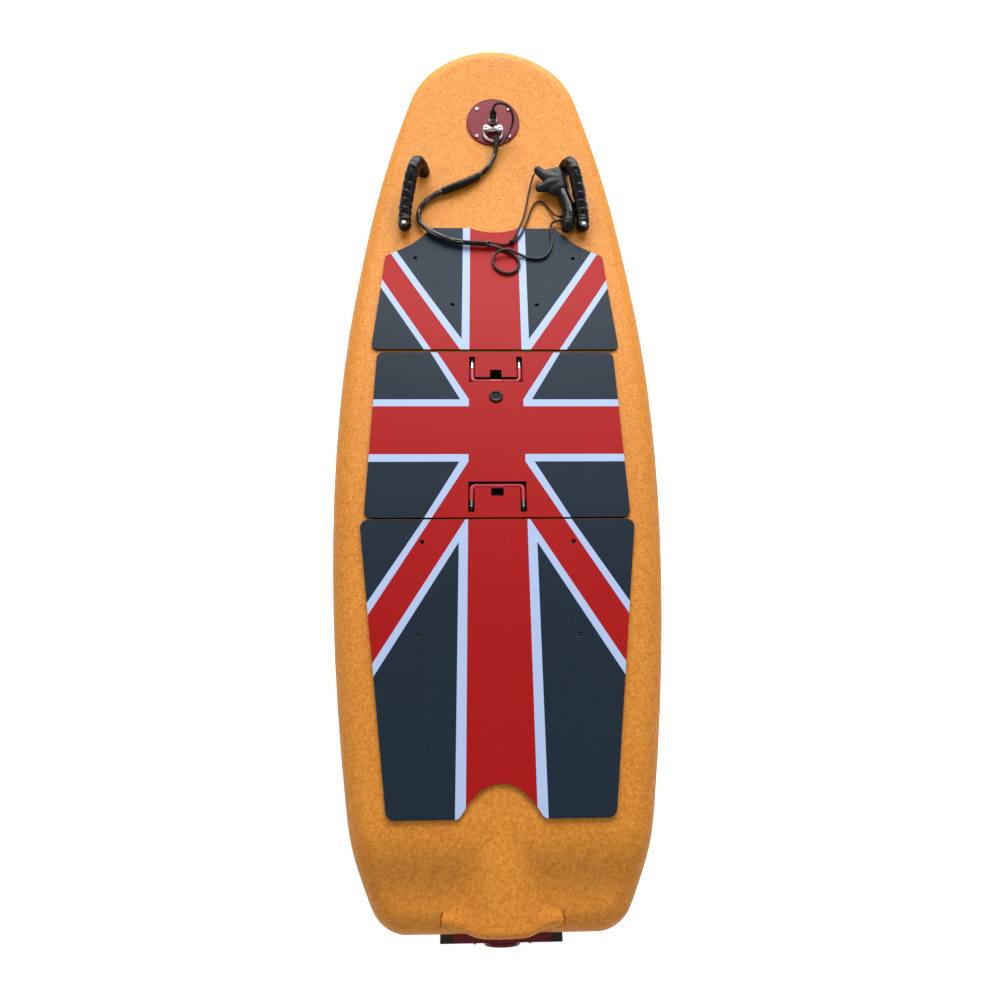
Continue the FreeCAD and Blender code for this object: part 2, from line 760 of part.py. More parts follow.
def buildImpeller():
    half = impeller_length / 2
    hub = rod(V(0, impeller_y + half, pump_axis_z), V(0, impeller_y - half, pump_axis_z), hub_radius)
    shaft_front = V(0, motor_front_y - motor_length - fit_gap, pump_axis_z)
    shaft = rod(shaft_front, V(0, impeller_y, pump_axis_z), shaft_radius)
    blade_reach = bore_radius - tip_clearance - 0.6
    blade = twistedBlade(impeller_y, impeller_length, hub_radius - 3, blade_reach, 4, 50)
    return hub.fuse([shaft] + aroundPump(blade, blade_count))


def buildStator():
    half = stator_length / 2
    hub = rod(V(0, stator_y + half, pump_axis_z), V(0, stator_y - half, pump_axis_z), hub_radius)
    tail = Part.makeCone(hub_radius, 5, stator_cone_length, V(0, stator_y - half, pump_axis_z), -Y_AXIS)
    vane = box(-2, 2, stator_y - half, stator_y + half, hub_radius - 3, bore_radius + 1)
    vane.translate(V(0, 0, pump_axis_z))
    inside = rod(V(0, stator_y + half, pump_axis_z), V(0, stator_y - half, pump_axis_z), bore_radius)
    vanes = [piece.common(inside) for piece in aroundPump(vane, vane_count)]
    return hub.fuse([tail] + vanes)


def buildNosePieces():
    top = nose_plate_thickness - nose_plate_seat
    pieces = {}
    plate = Part.makeCylinder(nose_plate_diameter / 2, nose_plate_thickness, V(0, 0, -nose_plate_seat))
    pieces["nose_plate"] = plate
    screws = []
    for x in (nose_screw_x, -nose_screw_x):
        for y in (nose_screw_y, -nose_screw_y):
            screws.append(Part.makeCylinder(screw_head_radius, screw_head_height, V(x, y, top)))
    pieces["nose_screws"] = Part.makeCompound(screws)
    base = roundedPlate(23, bracket_y - 11, bracket_y + 11, top, top + 3, 6)
    ring_y = bracket_y - 6
    ring_z = top + ring_axis_height
    ring_tilt = math.degrees(math.asin((ring_axis_height - ring_wire / 2 - 0.1) / (ring_radius + ring_leg)))
    hole = rod(V(-40, ring_y, ring_z), V(40, ring_y, ring_z), ring_wire / 2 + fit_gap)
    ears = symmetricBox(14, bracket_y - 11, bracket_y - 1, top + 2, top + 11)
    pieces["ring_bracket"] = base.fuse(ears).cut(hole)
    pieces["bracket_screws"] = both(Part.makeCylinder(4, 2, V(17, bracket_y + 5.5, top + 3)))
    bar = rod(V(-ring_radius, 0, 0), V(ring_radius, 0, 0), ring_wire / 2)
    path = Part.Wire([
        Part.LineSegment(V(-ring_radius, 0, 0), V(-ring_radius, -ring_leg, 0)).toShape(),
        Part.Arc(V(-ring_radius, -ring_leg, 0), V(0, -ring_leg - ring_radius, 0),
                 V(ring_radius, -ring_leg, 0)).toShape(),
        Part.LineSegment(V(ring_radius, -ring_leg, 0), V(ring_radius, 0, 0)).toShape()])
    section = Part.Wire(Part.makeCircle(ring_wire / 2, V(-ring_radius, 0, 0), Y_AXIS))
    bow = path.makePipeShell([section], True, False)
    corners = [Part.makeSphere(ring_wire / 2, V(side * ring_radius, 0, 0)) for side in (1, -1)]
    ring = bar.fuse([bow] + corners)
    ring.rotate(V(0, 0, 0), X_AXIS, ring_tilt)
    ring.translate(V(0, ring_y, ring_z))
    pieces["tie_ring"] = ring
    foot = Part.makeCylinder(connector_radius + 1.5, 7, V(0, connector_y, top))
    nut = Part.makeCylinder(connector_radius, 15, V(0, connector_y, top + 7))
    neck = Part.makeCylinder(connector_radius - 1.2, connector_height - 22, V(0, connector_y, top + 22))
    pieces["cable_connector"] = foot.fuse([nut, neck])
    return {name: onNose(piece) for name, piece in pieces.items()}


# A cord's tube: straight runs joined by tangent arcs, each arc as large as its two runs allow
def tube(points, diameter, name=None):
    edges = []
    last = points[0]
    radii = []
    for index in range(1, len(points) - 1):
        here = points[index]
        back = points[index - 1] - here
        ahead = points[index + 1] - here
        turn = math.pi - back.getAngle(ahead)
        radius = 0.45 * min(back.Length, ahead.Length) / math.tan(turn / 2)
        radii.append(radius)
        reach_in = radius * math.tan(turn / 2)
        back.normalize()
        ahead.normalize()
        start = here + back * reach_in
        end = here + ahead * reach_in
        middle = here + (back + ahead).normalize() * (radius / math.cos(turn / 2) - radius)
        edges.append(Part.LineSegment(last, start).toShape())
        edges.append(Part.Arc(start, middle, end).toShape())
        last = end
    edges.append(Part.LineSegment(last, points[-1]).toShape())
    path = Part.Wire(edges)
    profile = Part.Wire(Part.makeCircle(diameter / 2, points[0], points[1] - points[0]))
    solid = path.makePipeShell([profile], True, False)
    if name:
        expected = math.pi * diameter ** 2 / 4 * path.Length
        print(f"{name}: length {path.Length:.0f}, least radius {min(radii):.0f}, "
              f"{min(radii) / diameter:.1f} diameters, volume {solid.Volume / expected:.4f} of expected")
    return solid


def deckPoints(route):
    return [V(x, y, deckHeight(y) + height) for x, y, height in route]


def buildStrap():
    strap = tube(deckPoints(strap_route), 2 * strap_radius)
    x, y = strap_foot_place
    foot = Part.makeCylinder(strap_foot_radius, strap_foot_height, V(x, y, deckHeight(y) + 1.5))
    end = deckPoints(strap_route)[0]
    cap = Part.makeSphere(strap_radius, end)
    strap = strap.fuse([foot, cap])
    return strap.cut(deckBlock())


# Everything below the deck near the nose
def deckBlock():
    def at(y, z):
        return V(-reach, y, z)
    front = nose_y
    middle = (front + deck_curve_y) / 2
    edges = [
        Part.LineSegment(at(0, 0), at(0, deck_z)),
        Part.LineSegment(at(0, deck_z), at(deck_curve_y, deck_z)),
        Part.Arc(at(deck_curve_y, deck_z), at(middle, deckHeight(middle)), at(front, deckHeight(front))),
        Part.LineSegment(at(front, deckHeight(front)), at(front, 0)),
        Part.LineSegment(at(front, 0), at(0, 0))]
    return Part.Face(Part.Wire([edge.toShape() for edge in edges])).extrude(V(2 * reach, 0, 0))


def strapScrew():
    x, y = strap_foot_place
    return Part.makeCylinder(strap_screw_radius, 3, V(x, y, deckHeight(y) + 1.5 + strap_foot_height))


# Lays a piece drawn on a flat plane onto the curved deck, resting at its two ends
def layOnDeck(shape):
    y0, y1 = controller_y
    rise = deckHeight(y1) - deckHeight(y0)
    moved = shape.copy()
    moved.rotate(V(0, y0, 0), X_AXIS, math.degrees(math.atan2(rise, y1 - y0)))
    moved.translate(V(0, 0, deckHeight(y0) + controller_lift))
    return moved


def fingerPiece(line, radius):
    start = V(*line[0], controller_thickness / 2)
    end = V(*line[1], controller_thickness / 2)
    return rod(start, end, radius).fuse(Part.makeSphere(radius, end))


def buildController():
    half = controller_thickness / 2
    rings = []
    for index, (x, y, radius) in enumerate(grip_sections):
        before = grip_sections[max(index - 1, 0)]
        after = grip_sections[min(index + 1, len(grip_sections) - 1)]
        direction = V(after[0] - before[0], after[1] - before[1], 0)
        rings.append(Part.Wire(Part.makeCircle(radius, V(x, y, half), direction)))
    grip = Part.makeLoft(rings, True, True)
    head = Part.Face(roundedOutline([(x, y, 5) for x, y in head_outline[::-1]])).extrude(V(0, 0, 2 * half))
    head = head.makeFillet(6, [edge for edge in head.Edges if abs(edge.BoundBox.ZLength) < 0.1])
    grip = grip.cut(head)
    horn = fingerPiece(horn_line, horn_radius).cut(head)
    trigger = fingerPiece(trigger_line, trigger_radius).cut(head)
    return {
        "controller_grip": layOnDeck(grip), "controller_head": layOnDeck(head),
        "controller_horn": layOnDeck(horn), "controller_trigger": layOnDeck(trigger)}


def buildInserts():
    pieces = []
    for x, y in insertPlaces():
        low = deckHeight(y) - insert_length
        outside = Part.makeCylinder(insert_radius, insert_length - 0.6, V(x, y, low))
        bore = Part.makeCylinder(insert_bore, insert_length, V(x, y, low + 3))
        pieces.append(outside.cut(bore))
    return Part.makeCompound(pieces)


def buildFinBoxes():
    width, length, depth = fin_box_size
    slot_width, slot_length, slot_depth = fin_slot_size
    outer = box(
        fin_box_x - width / 2, fin_box_x + width / 2, fin_box_y - length / 2, fin_box_y + length / 2, 0, depth)
    slot = box(fin_box_x - slot_width / 2, fin_box_x + slot_width / 2, fin_box_y - slot_length / 2,
               fin_box_y + slot_length / 2, -1, slot_depth)
    return both(outer.cut(slot))


pads = buildPads()
handle, bail_ends = bailPieces()
tether = tube(deckPoints(tether_route), tether_diameter, "tether")
lead = tube(deckPoints(lead_route), cable_diameter, "lead_cable")
control = tube(deckPoints(control_route), cable_diameter, "control_cable")
long_bridle = tube(deckPoints(long_bridle_route), bridle_diameter, "bridle_long")
short_bridle = tube(deckPoints(short_bridle_route), bridle_diameter, "bridle_short")
strap = buildStrap()
battery_x, battery_y, battery_z = battery_size
nodes = {
    "hull": buildHull(),
    "lid": buildLid(),
    "lid_seal": buildSeal(),
    "lid_valve": buildValve(),
    "bail_front": handle,
    "bail_front_ends": bail_ends,
    "bail_rear": handle.mirror(V(0, 0, 0), Y_AXIS),
    "bail_rear_ends": bail_ends.mirror(V(0, 0, 0), Y_AXIS),
    "battery": symmetricBox(battery_x / 2, -battery_y / 2, battery_y / 2, bay_floor_z, bay_floor_z + battery_z),
    "motor": rod(
        V(0, motor_front_y, pump_axis_z), V(0, motor_front_y - motor_length, pump_axis_z), motor_diameter / 2),
    "ride_plate": buildRidePlate(),
    "intake_grille": buildGrille(),
    "pump_housing": buildHousing(),
    "pump_nozzle": buildNozzle(),
    "pump_stator": buildStator(),
    "impeller": buildImpeller(),
    "deck_inserts": buildInserts(),
    "fin_boxes": buildFinBoxes(),
    "hand_strap_right": strap,
    "hand_strap_left": flip(strap),
    "strap_screws": both(strapScrew()),
    "tether": tether,
    "lead_cable": lead,
    "control_cable": control,
    "bridle_long": long_bridle,
    "bridle_short": short_bridle,
    "bridle_knot": Part.makeSphere(
        knot_radius, V(*knot_place, deckHeight(knot_place[1]) + pad_thickness + knot_radius)),
}
for place, colours in pads.items():
    for colour, piece in colours.items():
        nodes[f"pad_{place}_{colour}"] = piece
nodes.update(buildNosePieces())
nodes.update(buildController())

os.makedirs("parts", exist_ok=True)
for name, shape in nodes.items():
    shape = shape.copy()
    shape.translate(V(0, -middle_y, 0))
    if not shape.isValid() or not shape.Solids:
        print("not valid:", name)
    shape.exportStep(f"parts/{name}.step")
    limits = shape.BoundBox
    print(f"{name}: {len(shape.Solids)} solids, x {limits.XMin:.1f} {limits.XMax:.1f}, "
          f"y {limits.YMin:.1f} {limits.YMax:.1f}, z {limits.ZMin:.1f} {limits.ZMax:.1f}")
print(f"nose at {nose_y:.1f}, transom at {transom_y:.1f}, origin at {middle_y:.2f}")
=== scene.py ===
import bpy
import bmesh
import math
import numpy as np
from mathutils import Matrix, Vector, noise
from mathutils.bvhtree import BVHTree


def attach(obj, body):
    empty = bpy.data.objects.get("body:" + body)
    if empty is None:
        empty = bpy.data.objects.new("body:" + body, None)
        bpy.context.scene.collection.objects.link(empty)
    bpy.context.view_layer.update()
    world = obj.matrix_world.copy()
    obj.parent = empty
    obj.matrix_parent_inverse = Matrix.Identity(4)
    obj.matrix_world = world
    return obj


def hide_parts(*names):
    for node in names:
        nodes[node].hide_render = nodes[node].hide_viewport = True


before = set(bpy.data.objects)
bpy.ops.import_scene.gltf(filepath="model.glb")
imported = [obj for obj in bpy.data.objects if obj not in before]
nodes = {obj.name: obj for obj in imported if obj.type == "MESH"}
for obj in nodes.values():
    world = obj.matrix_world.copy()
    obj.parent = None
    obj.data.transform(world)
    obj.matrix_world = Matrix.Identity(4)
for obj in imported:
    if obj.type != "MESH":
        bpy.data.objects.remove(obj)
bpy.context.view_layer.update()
print("frame loaded")

fullTurn = 2 * math.pi


# sRGB levels of 0 to 255 as a linear colour
def ink(*levels):
    linear = [level / 255 / 12.92 if level <= 10 else ((level / 255 + 0.055) / 1.055) ** 2.4 for level in levels]
    return (*linear, 1)


# A node's first output stands for the node where an input is given one
def addNode(tree, kind, inputs=None, **settings):
    made = tree.nodes.new(kind)
    for key, value in settings.items():
        setattr(made, key, value)
    for key, value in (inputs or {}).items():
        if isinstance(value, bpy.types.Node):
            value = value.outputs[0]
        if isinstance(value, bpy.types.NodeSocket):
            tree.links.new(value, made.inputs[key])
        else:
            made.inputs[key].default_value = value
    return made


def calc(tree, operation, *values, **settings):
    return addNode(tree, "ShaderNodeMath", dict(enumerate(values)), operation=operation, **settings)


def scaled(tree, vector, factor):
    return addNode(tree, "ShaderNodeVectorMath", {0: vector, "Scale": factor}, operation="SCALE")


def noiseAt(tree, place, scale, detail, roughness=0.5):
    return addNode(tree, "ShaderNodeTexNoise", {
        "Vector": place, "Scale": scale, "Detail": detail, "Roughness": roughness})


# Ends are the range it comes from, then the range it goes to, which is 0 to 1 if left out
def remap(tree, value, *ends):
    return addNode(tree, "ShaderNodeMapRange", {"Value": value, **dict(enumerate(ends, 1))})


def blend(tree, share, first, second):
    mixed = addNode(tree, "ShaderNodeMix", {"Factor": share, 6: first, 7: second}, data_type="RGBA")
    return mixed.outputs[2]


def deliver(tree, made, **values):
    for label, value in values.items():
        source = value.outputs[0] if isinstance(value, bpy.types.Node) else value
        tree.links.new(source, made.inputs[label])


# The socket's kind follows from its label or from its default value
def socketKind(label, value=0.0):
    named = {"Geometry": "Geometry", "Finish": "Material", "Color": "Color"}
    return "NodeSocket" + (named.get(label) or {tuple: "Color", int: "Int", float: "Float"}[type(value)])


def newTree(name, kind, inputs, outputs):
    tree = bpy.data.node_groups.new(name, kind)
    for label, value in inputs.items():
        socket = tree.interface.new_socket(label, in_out="INPUT", socket_type=socketKind(label, value))
        if value is not None:
            socket.default_value = value
    for label in outputs:
        tree.interface.new_socket(label, in_out="OUTPUT", socket_type=socketKind(label))
    return tree, tree.nodes.new("NodeGroupInput").outputs, tree.nodes.new("NodeGroupOutput")


def meshPiece(name, points, faces, material):
    mesh = bpy.data.meshes.new(name)
    mesh.from_pydata([tuple(p) for p in points], [], faces)
    work = bmesh.new()
    work.from_mesh(mesh)
    bmesh.ops.remove_doubles(work, verts=work.verts, dist=1e-6)
    bmesh.ops.recalc_face_normals(work, faces=work.faces)
    work.to_mesh(mesh)
    work.free()
    return addObject(name, mesh, material)


def linked(name, data):
    made = bpy.data.objects.new(name, data)
    bpy.context.scene.collection.objects.link(made)
    return made


def addObject(name, mesh, material, smooth=True):
    piece = linked(name, mesh)
    mesh.materials.clear()
    mesh.materials.append(material)
    if smooth:
        mesh.shade_smooth()
    return piece


# The plain mesh that an object gives once its modifiers have run
def finalMesh(piece):
    graph = bpy.context.evaluated_depsgraph_get()
    return bpy.data.meshes.new_from_object(piece.evaluated_get(graph))


def bakeModifiers(piece):
    mesh = finalMesh(piece)
    piece.modifiers.clear()
    old = piece.data
    piece.data = mesh
    bpy.data.meshes.remove(old)


def settle(piece, body, *replaced):
    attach(piece, body)
    if replaced:
        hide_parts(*replaced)
    return piece


# Splits smooth shading at edges sharper than the given angle
def crisp(piece, degrees=35):
    work = bmesh.new()
    work.from_mesh(piece.data)
    for edge in work.edges:
        if len(edge.link_faces) == 2 and edge.calc_face_angle() > math.radians(degrees):
            edge.smooth = False
    work.to_mesh(piece.data)
    work.free()
    return piece


# The faces between rings of points that follow one another
def ringFaces(rings, around):
    faces = []
    for start in range(0, (rings - 1) * around, around):
        for step in range(around):
            ahead = (step + 1) % around
            faces.append((start + step, start + ahead, start + around + ahead, start + around + step))
    return faces


# A turned shape: profile of (radius, height) pairs about an upright axis, which ends on the axis unless closed.
# Ridges are grooves down its side, cut into the rows of the profile that ridgeSpan gives.
def turned(name, profile, material, sides, place, ridges=0, ridgeDepth=0.0, ridgeSpan=(0, 0), closed=False):
    points = []
    for index, (radius, height) in enumerate(profile):
        for side in range(sides):
            angle = fullTurn * side / sides
            r = radius
            if ridges and ridgeSpan[0] <= index <= ridgeSpan[1]:
                r -= ridgeDepth * (side % (sides // ridges) == 0)
            points.append(place @ Vector((r * math.cos(angle), r * math.sin(angle), height)))
    faces = ringFaces(len(profile), sides)
    last = (len(profile) - 1) * sides
    if closed:
        faces += [(last + side, last + (side + 1) % sides, (side + 1) % sides, side) for side in range(sides)]
    else:
        faces.append(tuple(range(sides))[::-1])
    return crisp(meshPiece(name, points, faces, material))


# Frames along a path that turn as little as they can
def pathFrames(path):
    path = np.asarray(path, float)
    tangents = np.gradient(path, axis=0)
    tangents /= np.linalg.norm(tangents, axis=1)[:, None]
    side = np.cross(tangents[0], (0.0, 0.0, 1.0))
    if np.linalg.norm(side) < 0.1:
        side = np.cross(tangents[0], (1.0, 0.0, 0.0))
    sides = []
    for tangent in tangents:
        side = side - tangent * (side @ tangent)
        side /= np.linalg.norm(side)
        sides.append(side)
    sides = np.array(sides)
    return path, sides, np.cross(sides, tangents)


def runAlong(path):
    return np.concatenate([[0], np.cumsum(np.linalg.norm(np.diff(path, axis=0), axis=1))])


# Each end of a tube is a dome, given as shares of its radius and of the dome's height
tubeEnd = {"bulge": 0.55, "shoulder": 0.72, "shoulderRise": 0.75}


# A tube along a path. radiusAt gives the radius for a distance along it and an angle round it.
def sweptTube(name, path, radiusAt, material, around=24, roundEnds=(True, True)):
    path, sides, ups = pathFrames(path)
    run = runAlong(path)
    points = []
    for index, place in enumerate(path):
        for step in range(around):
            angle = fullTurn * step / around
            radius = radiusAt(run[index], angle)
            points.append(place + radius * (math.cos(angle) * sides[index] + math.sin(angle) * ups[index]))
    faces = ringFaces(len(path), around)
    for end, ring in ((0, 0), (1, (len(path) - 1) * around)):
        bulge = radiusAt(run[-1] if end else 0, 0) * tubeEnd["bulge"] if roundEnds[end] else 0
        direction = (path[-1] - path[-2]) if end else (path[0] - path[1])
        direction = direction / np.linalg.norm(direction)
        centre = path[-1] if end else path[0]
        rise = direction * bulge * tubeEnd["shoulderRise"]
        first = len(points)
        for step in range(around):
            points.append(centre + (np.array(points[ring + step]) - centre) * tubeEnd["shoulder"] + rise)
        tip = len(points)
        points.append(centre + direction * bulge)
        for step in range(around):
            ahead = (step + 1) % around
            faces.append((ring + step, ring + ahead, first + ahead, first + step))
            faces.append((first + step, first + ahead, tip))
    return meshPiece(name, points, faces, material)


# The line that a cord follows
def splineCurve(name, points, bevel=0.0):
    curve = bpy.data.curves.new(name, "CURVE")
    curve.dimensions = "3D"
    spline = curve.splines.new("NURBS")
    spline.points.add(len(points) - 1)
    for point, place in zip(spline.points, points):
        point.co = (*place, 1)
    spline.order_u = 3
    spline.use_endpoint_u = True
    spline.resolution_u = 12
    curve.resolution_u = 12
    if bevel:
        curve.bevel_depth = bevel
        curve.bevel_resolution = 5
        curve.use_fill_caps = True
    return linked(name, curve)


def splineLine(points):
    line = splineCurve("line", points)
    mesh = finalMesh(line)
    path = [tuple(v.co) for v in mesh.vertices]
    bpy.data.meshes.remove(mesh)
    bpy.data.objects.remove(line)
    return path


def evenLine(path, step):
    path = np.array(path)
    run = runAlong(path)
    at = np.linspace(0, run[-1], max(3, int(run[-1] / step)))
    return np.stack([np.interp(at, run, path[:, axis]) for axis in range(3)], axis=1)


# Shader effects that the materials share
surfaceOutputs = ("Color", "Roughness", "Height")


# Broad patches of wear over a fine grain
def makeWearGroup():
    tree, given, made = newTree("surfaceWear", "ShaderNodeTree", {
        "Color": (0.5, 0.5, 0.5, 1), "Worn Color": (0.6, 0.6, 0.6, 1), "Amount": 0.3, "Scale": 12.0,
        "Roughness": 0.5, "Spread": 0.2}, surfaceOutputs)
    place = addNode(tree, "ShaderNodeTexCoord").outputs["Object"]
    broad = noiseAt(tree, place, given["Scale"], detail=5.0, roughness=0.62)
    fine = noiseAt(tree, place, calc(tree, "MULTIPLY", given["Scale"], 17.0), detail=3.0)
    strength = calc(tree, "MULTIPLY", remap(tree, broad, 0.38, 0.68), given["Amount"])
    colour = blend(tree, strength, given["Color"], given["Worn Color"])
    offset = calc(tree, "SUBTRACT", broad, 0.5)
    rough = calc(tree, "MULTIPLY_ADD", offset, given["Spread"], given["Roughness"], use_clamp=True)
    deliver(tree, made, Color=colour, Roughness=rough, Height=fine)
    return tree


# Beads of moulded foam, each with its own shade, and the seams between them
def makeBeadGroup():
    tree, given, made = newTree("foamBeads", "ShaderNodeTree", {
        "Light": (1, 0.5, 0.1, 1), "Dark": (0.7, 0.3, 0.05, 1), "Bead Scale": 300.0, "Mottle": 0.5},
        surfaceOutputs)
    place = addNode(tree, "ShaderNodeTexCoord").outputs["Object"]
    cells = {"Vector": place, "Scale": given["Bead Scale"]}
    beads = addNode(tree, "ShaderNodeTexVoronoi", cells)
    seams = addNode(tree, "ShaderNodeTexVoronoi", cells, feature="DISTANCE_TO_EDGE")
    pick = addNode(tree, "ShaderNodeSeparateColor", {"Color": beads.outputs["Color"]})
    patches = noiseAt(tree, place, 190.0, detail=4.0, roughness=0.75)
    broad = noiseAt(tree, place, 5.0, detail=3.0)
    spread = remap(tree, pick, 0.0, 1.0, -0.5, 0.5)
    shade = calc(tree, "MULTIPLY_ADD", spread, given["Mottle"], patches)
    shade = calc(tree, "MULTIPLY_ADD", broad, 0.2, shade)
    colour = blend(tree, remap(tree, shade, 0.26, 0.94), given["Light"], given["Dark"])
    deliver(tree, made, Color=colour, Roughness=remap(tree, pick.outputs[1], 0.0, 1.0, 0.5, 0.78),
            Height=remap(tree, seams.outputs["Distance"], 0.0, 0.16))
    return tree


# Fine brushed grain both ways, with painted shade on the cut sides of a pad: they take a darker colour as they turn
# away from facing up
def makePadGroup():
    tree, given, made = newTree("padGrain", "ShaderNodeTree", {
        "Color": (0.5, 0.5, 0.5, 1), "Side Color": (0, 0, 0, 1), "Grain": 0.3}, surfaceOutputs)
    coordinates = addNode(tree, "ShaderNodeTexCoord")
    place = coordinates.outputs["Object"]
    threads = []
    for scale in ((34, 950, 30), (950, 34, 30)):
        stretch = addNode(tree, "ShaderNodeMapping", {"Vector": place, "Scale": scale})
        threads.append(noiseAt(tree, stretch, 1.0, detail=2.0, roughness=0.6))
    both = calc(tree, "ADD", *threads)
    broad = noiseAt(tree, place, 4.0, detail=6.0, roughness=0.65)
    scuffs = noiseAt(tree, place, 38.0, detail=8.0, roughness=0.8)
    total = calc(tree, "MULTIPLY_ADD", scuffs, 0.5, calc(tree, "ADD", both, broad))
    value = remap(tree, total, 1.2, 2.3, -1.0, 1.0)
    tinted = scaled(tree, given["Color"], calc(tree, "MULTIPLY_ADD", value, given["Grain"], 1.0))
    # Painted shade: faces of the pad that turn away from up blend to the darker side colour
    facing = addNode(tree, "ShaderNodeSeparateXYZ", {"Vector": coordinates.outputs["Normal"]})
    upward = remap(tree, facing.outputs[2], 0.3, 0.8)
    deliver(tree, made, Color=blend(tree, upward, given["Side Color"], tinted),
            Roughness=remap(tree, both, 0.6, 1.4, 0.42, 0.58), Height=both)
    return tree


# Plait of a cord from its own UV map: along it and round it
def makePlaitGroup():
    tree, given, made = newTree("plait", "ShaderNodeTree", {"Along": 60.0, "Round": 4.0}, ("Height", "Roughness"))
    place = addNode(tree, "ShaderNodeTexCoord")
    parts = addNode(tree, "ShaderNodeSeparateXYZ", {"Vector": place.outputs["UV"]})
    along = calc(tree, "MULTIPLY", parts, given["Along"])
    around = calc(tree, "MULTIPLY", parts.outputs[1], given["Round"])
    waves = []
    for operation in ("ADD", "SUBTRACT"):
        turn = calc(tree, "MULTIPLY", calc(tree, operation, along, around), fullTurn)
        waves.append(calc(tree, "SINE", turn))
    product = calc(tree, "MULTIPLY", *waves)
    deliver(tree, made, Height=product, Roughness=remap(tree, product, -1.0, 1.0, 0.62, 0.38))
    return tree


effects = {"wear": makeWearGroup(), "beads": makeBeadGroup(), "pad": makePadGroup(), "plait": makePlaitGroup()}
print("shared effects made")


# Bump is its strength and its height in metres
def newMaterial(name, effect, inputs, bump, metal=0.0, shine=0.5):
    material = bpy.data.materials.new(name)
    material.use_nodes = True
    tree = material.node_tree
    shader = tree.nodes["Principled BSDF"]
    shader.inputs["Metallic"].default_value = metal
    shader.inputs["Specular IOR Level"].default_value = shine
    group = addNode(tree, "ShaderNodeGroup", node_tree=effects[effect])
    for key, value in inputs.items():
        group.inputs[key].default_value = value
    if "Color" in group.outputs:
        tree.links.new(group.outputs["Color"], shader.inputs["Base Color"])
        material.diffuse_color = inputs.get("Color", inputs.get("Light"))
    raised = addNode(tree, "ShaderNodeBump", {
        "Strength": bump[0], "Distance": bump[1], "Height": group.outputs["Height"]})
    deliver(tree, shader, Roughness=group.outputs["Roughness"], Normal=raised)
    return material


def worn(name, colour, wornColour, roughness, amount, scale, spread=0.25, bump=(0.15, 0.0006), **plain):
    return newMaterial(name, "wear", {"Color": ink(*colour), "Worn Color": ink(*wornColour), "Amount": amount,
                                      "Scale": scale, "Roughness": roughness, "Spread": spread}, bump, **plain)


def padMaterial(name, colour, paintedSideShade, grain):
    return newMaterial(name, "pad", {"Color": ink(*colour), "Side Color": ink(*paintedSideShade), "Grain": grain},
                       (0.25, 0.0004), shine=0.14)


def foamMaterial(name, light, dark, beadScale, bump):
    return newMaterial(name, "beads", {
        "Light": ink(*light), "Dark": ink(*dark), "Bead Scale": beadScale, "Mottle": 0.5}, bump)


def cordMaterial(name, colour, along, around):
    material = newMaterial(name, "plait", {"Along": along, "Round": around}, (0.45, 0.0006))
    material.node_tree.nodes["Principled BSDF"].inputs["Base Color"].default_value = ink(*colour)
    return material


# Colour, worn colour, roughness, amount and scale of the wear, then what differs from the usual
wornLooks = {
    "redMetal": ((134, 32, 44), (116, 24, 36), 0.48, 0.5, 20.0, {"shine": 0.22}),
    "darkRedMetal": ((112, 14, 28), (80, 8, 18), 0.36, 0.5, 22.0, {"metal": 0.4}),
    "bailCoat": ((222, 62, 72), (198, 44, 54), 0.32, 0.4, 60.0, {"spread": 0.2}),
    "steel": ((205, 205, 205), (150, 148, 145), 0.17, 0.5, 60.0, {"metal": 1.0}),
    "brushedSteel": ((165, 162, 158), (110, 106, 102), 0.34, 0.55, 40.0, {"metal": 1.0}),
    "aluminium": ((172, 174, 177), (138, 139, 142), 0.38, 0.5, 18.0, {"metal": 1.0}),
    "darkMetal": ((38, 35, 33), (62, 54, 44), 0.45, 0.6, 16.0, {"spread": 0.3, "metal": 0.6}),
    "blackPlastic": ((12, 12, 13), (22, 22, 24), 0.42, 0.4, 24.0, {"shine": 0.3}),
    "blackRubber": ((8, 8, 9), (16, 16, 17), 0.45, 0.5, 45.0,
                    {"spread": 0.3, "bump": (0.3, 0.0008), "shine": 0.22}),
    "tape": ((5, 5, 5), (12, 11, 12), 0.34, 0.5, 55.0, {"spread": 0.35, "bump": (0.4, 0.001), "shine": 0.25}),
    "controllerSkin": ((30, 31, 34), (40, 41, 44), 0.5, 0.4, 60.0,
                       {"spread": 0.2, "bump": (0.3, 0.0004), "shine": 0.3}),
    "glossBlack": ((5, 5, 6), (9, 9, 10), 0.22, 0.4, 30.0,
                   {"spread": 0.12, "bump": (0.05, 0.0002), "shine": 0.4}),
    "greenRing": ((28, 74, 52), (20, 52, 38), 0.4, 0.4, 80.0, {"spread": 0.2}),
    "braid": ((4, 4, 4), (12, 12, 12), 0.24, 0.6, 160.0, {"spread": 0.3, "bump": (0.3, 0.0005), "shine": 0.7})}
finish = {name: worn(name, *look[:-1], **look[-1]) for name, look in wornLooks.items()}
finish.update({
    "orangeFoam": foamMaterial("orangeFoam", (243, 161, 50), (208, 120, 23), 330.0, (0.22, 0.0006)),
    "foamMark": foamMaterial("foamMark", (250, 180, 104), (224, 140, 62), 400.0, (0.15, 0.0004)),
    # The second colour of each pad is painted shade on its cut sides
    "redPad": padMaterial("redPad", (177, 22, 22), (40, 8, 8), 0.1),
    "whitePad": padMaterial("whitePad", (188, 209, 248), (70, 76, 90), 0.045),
    "greyPad": padMaterial("greyPad", (29, 44, 58), (9, 11, 13), 0.16),
    "thinCord": cordMaterial("thinCord", (15, 15, 15), 90.0, 3.0),
    "cableJacket": cordMaterial("cableJacket", (14, 14, 14), 120.0, 2.0)})

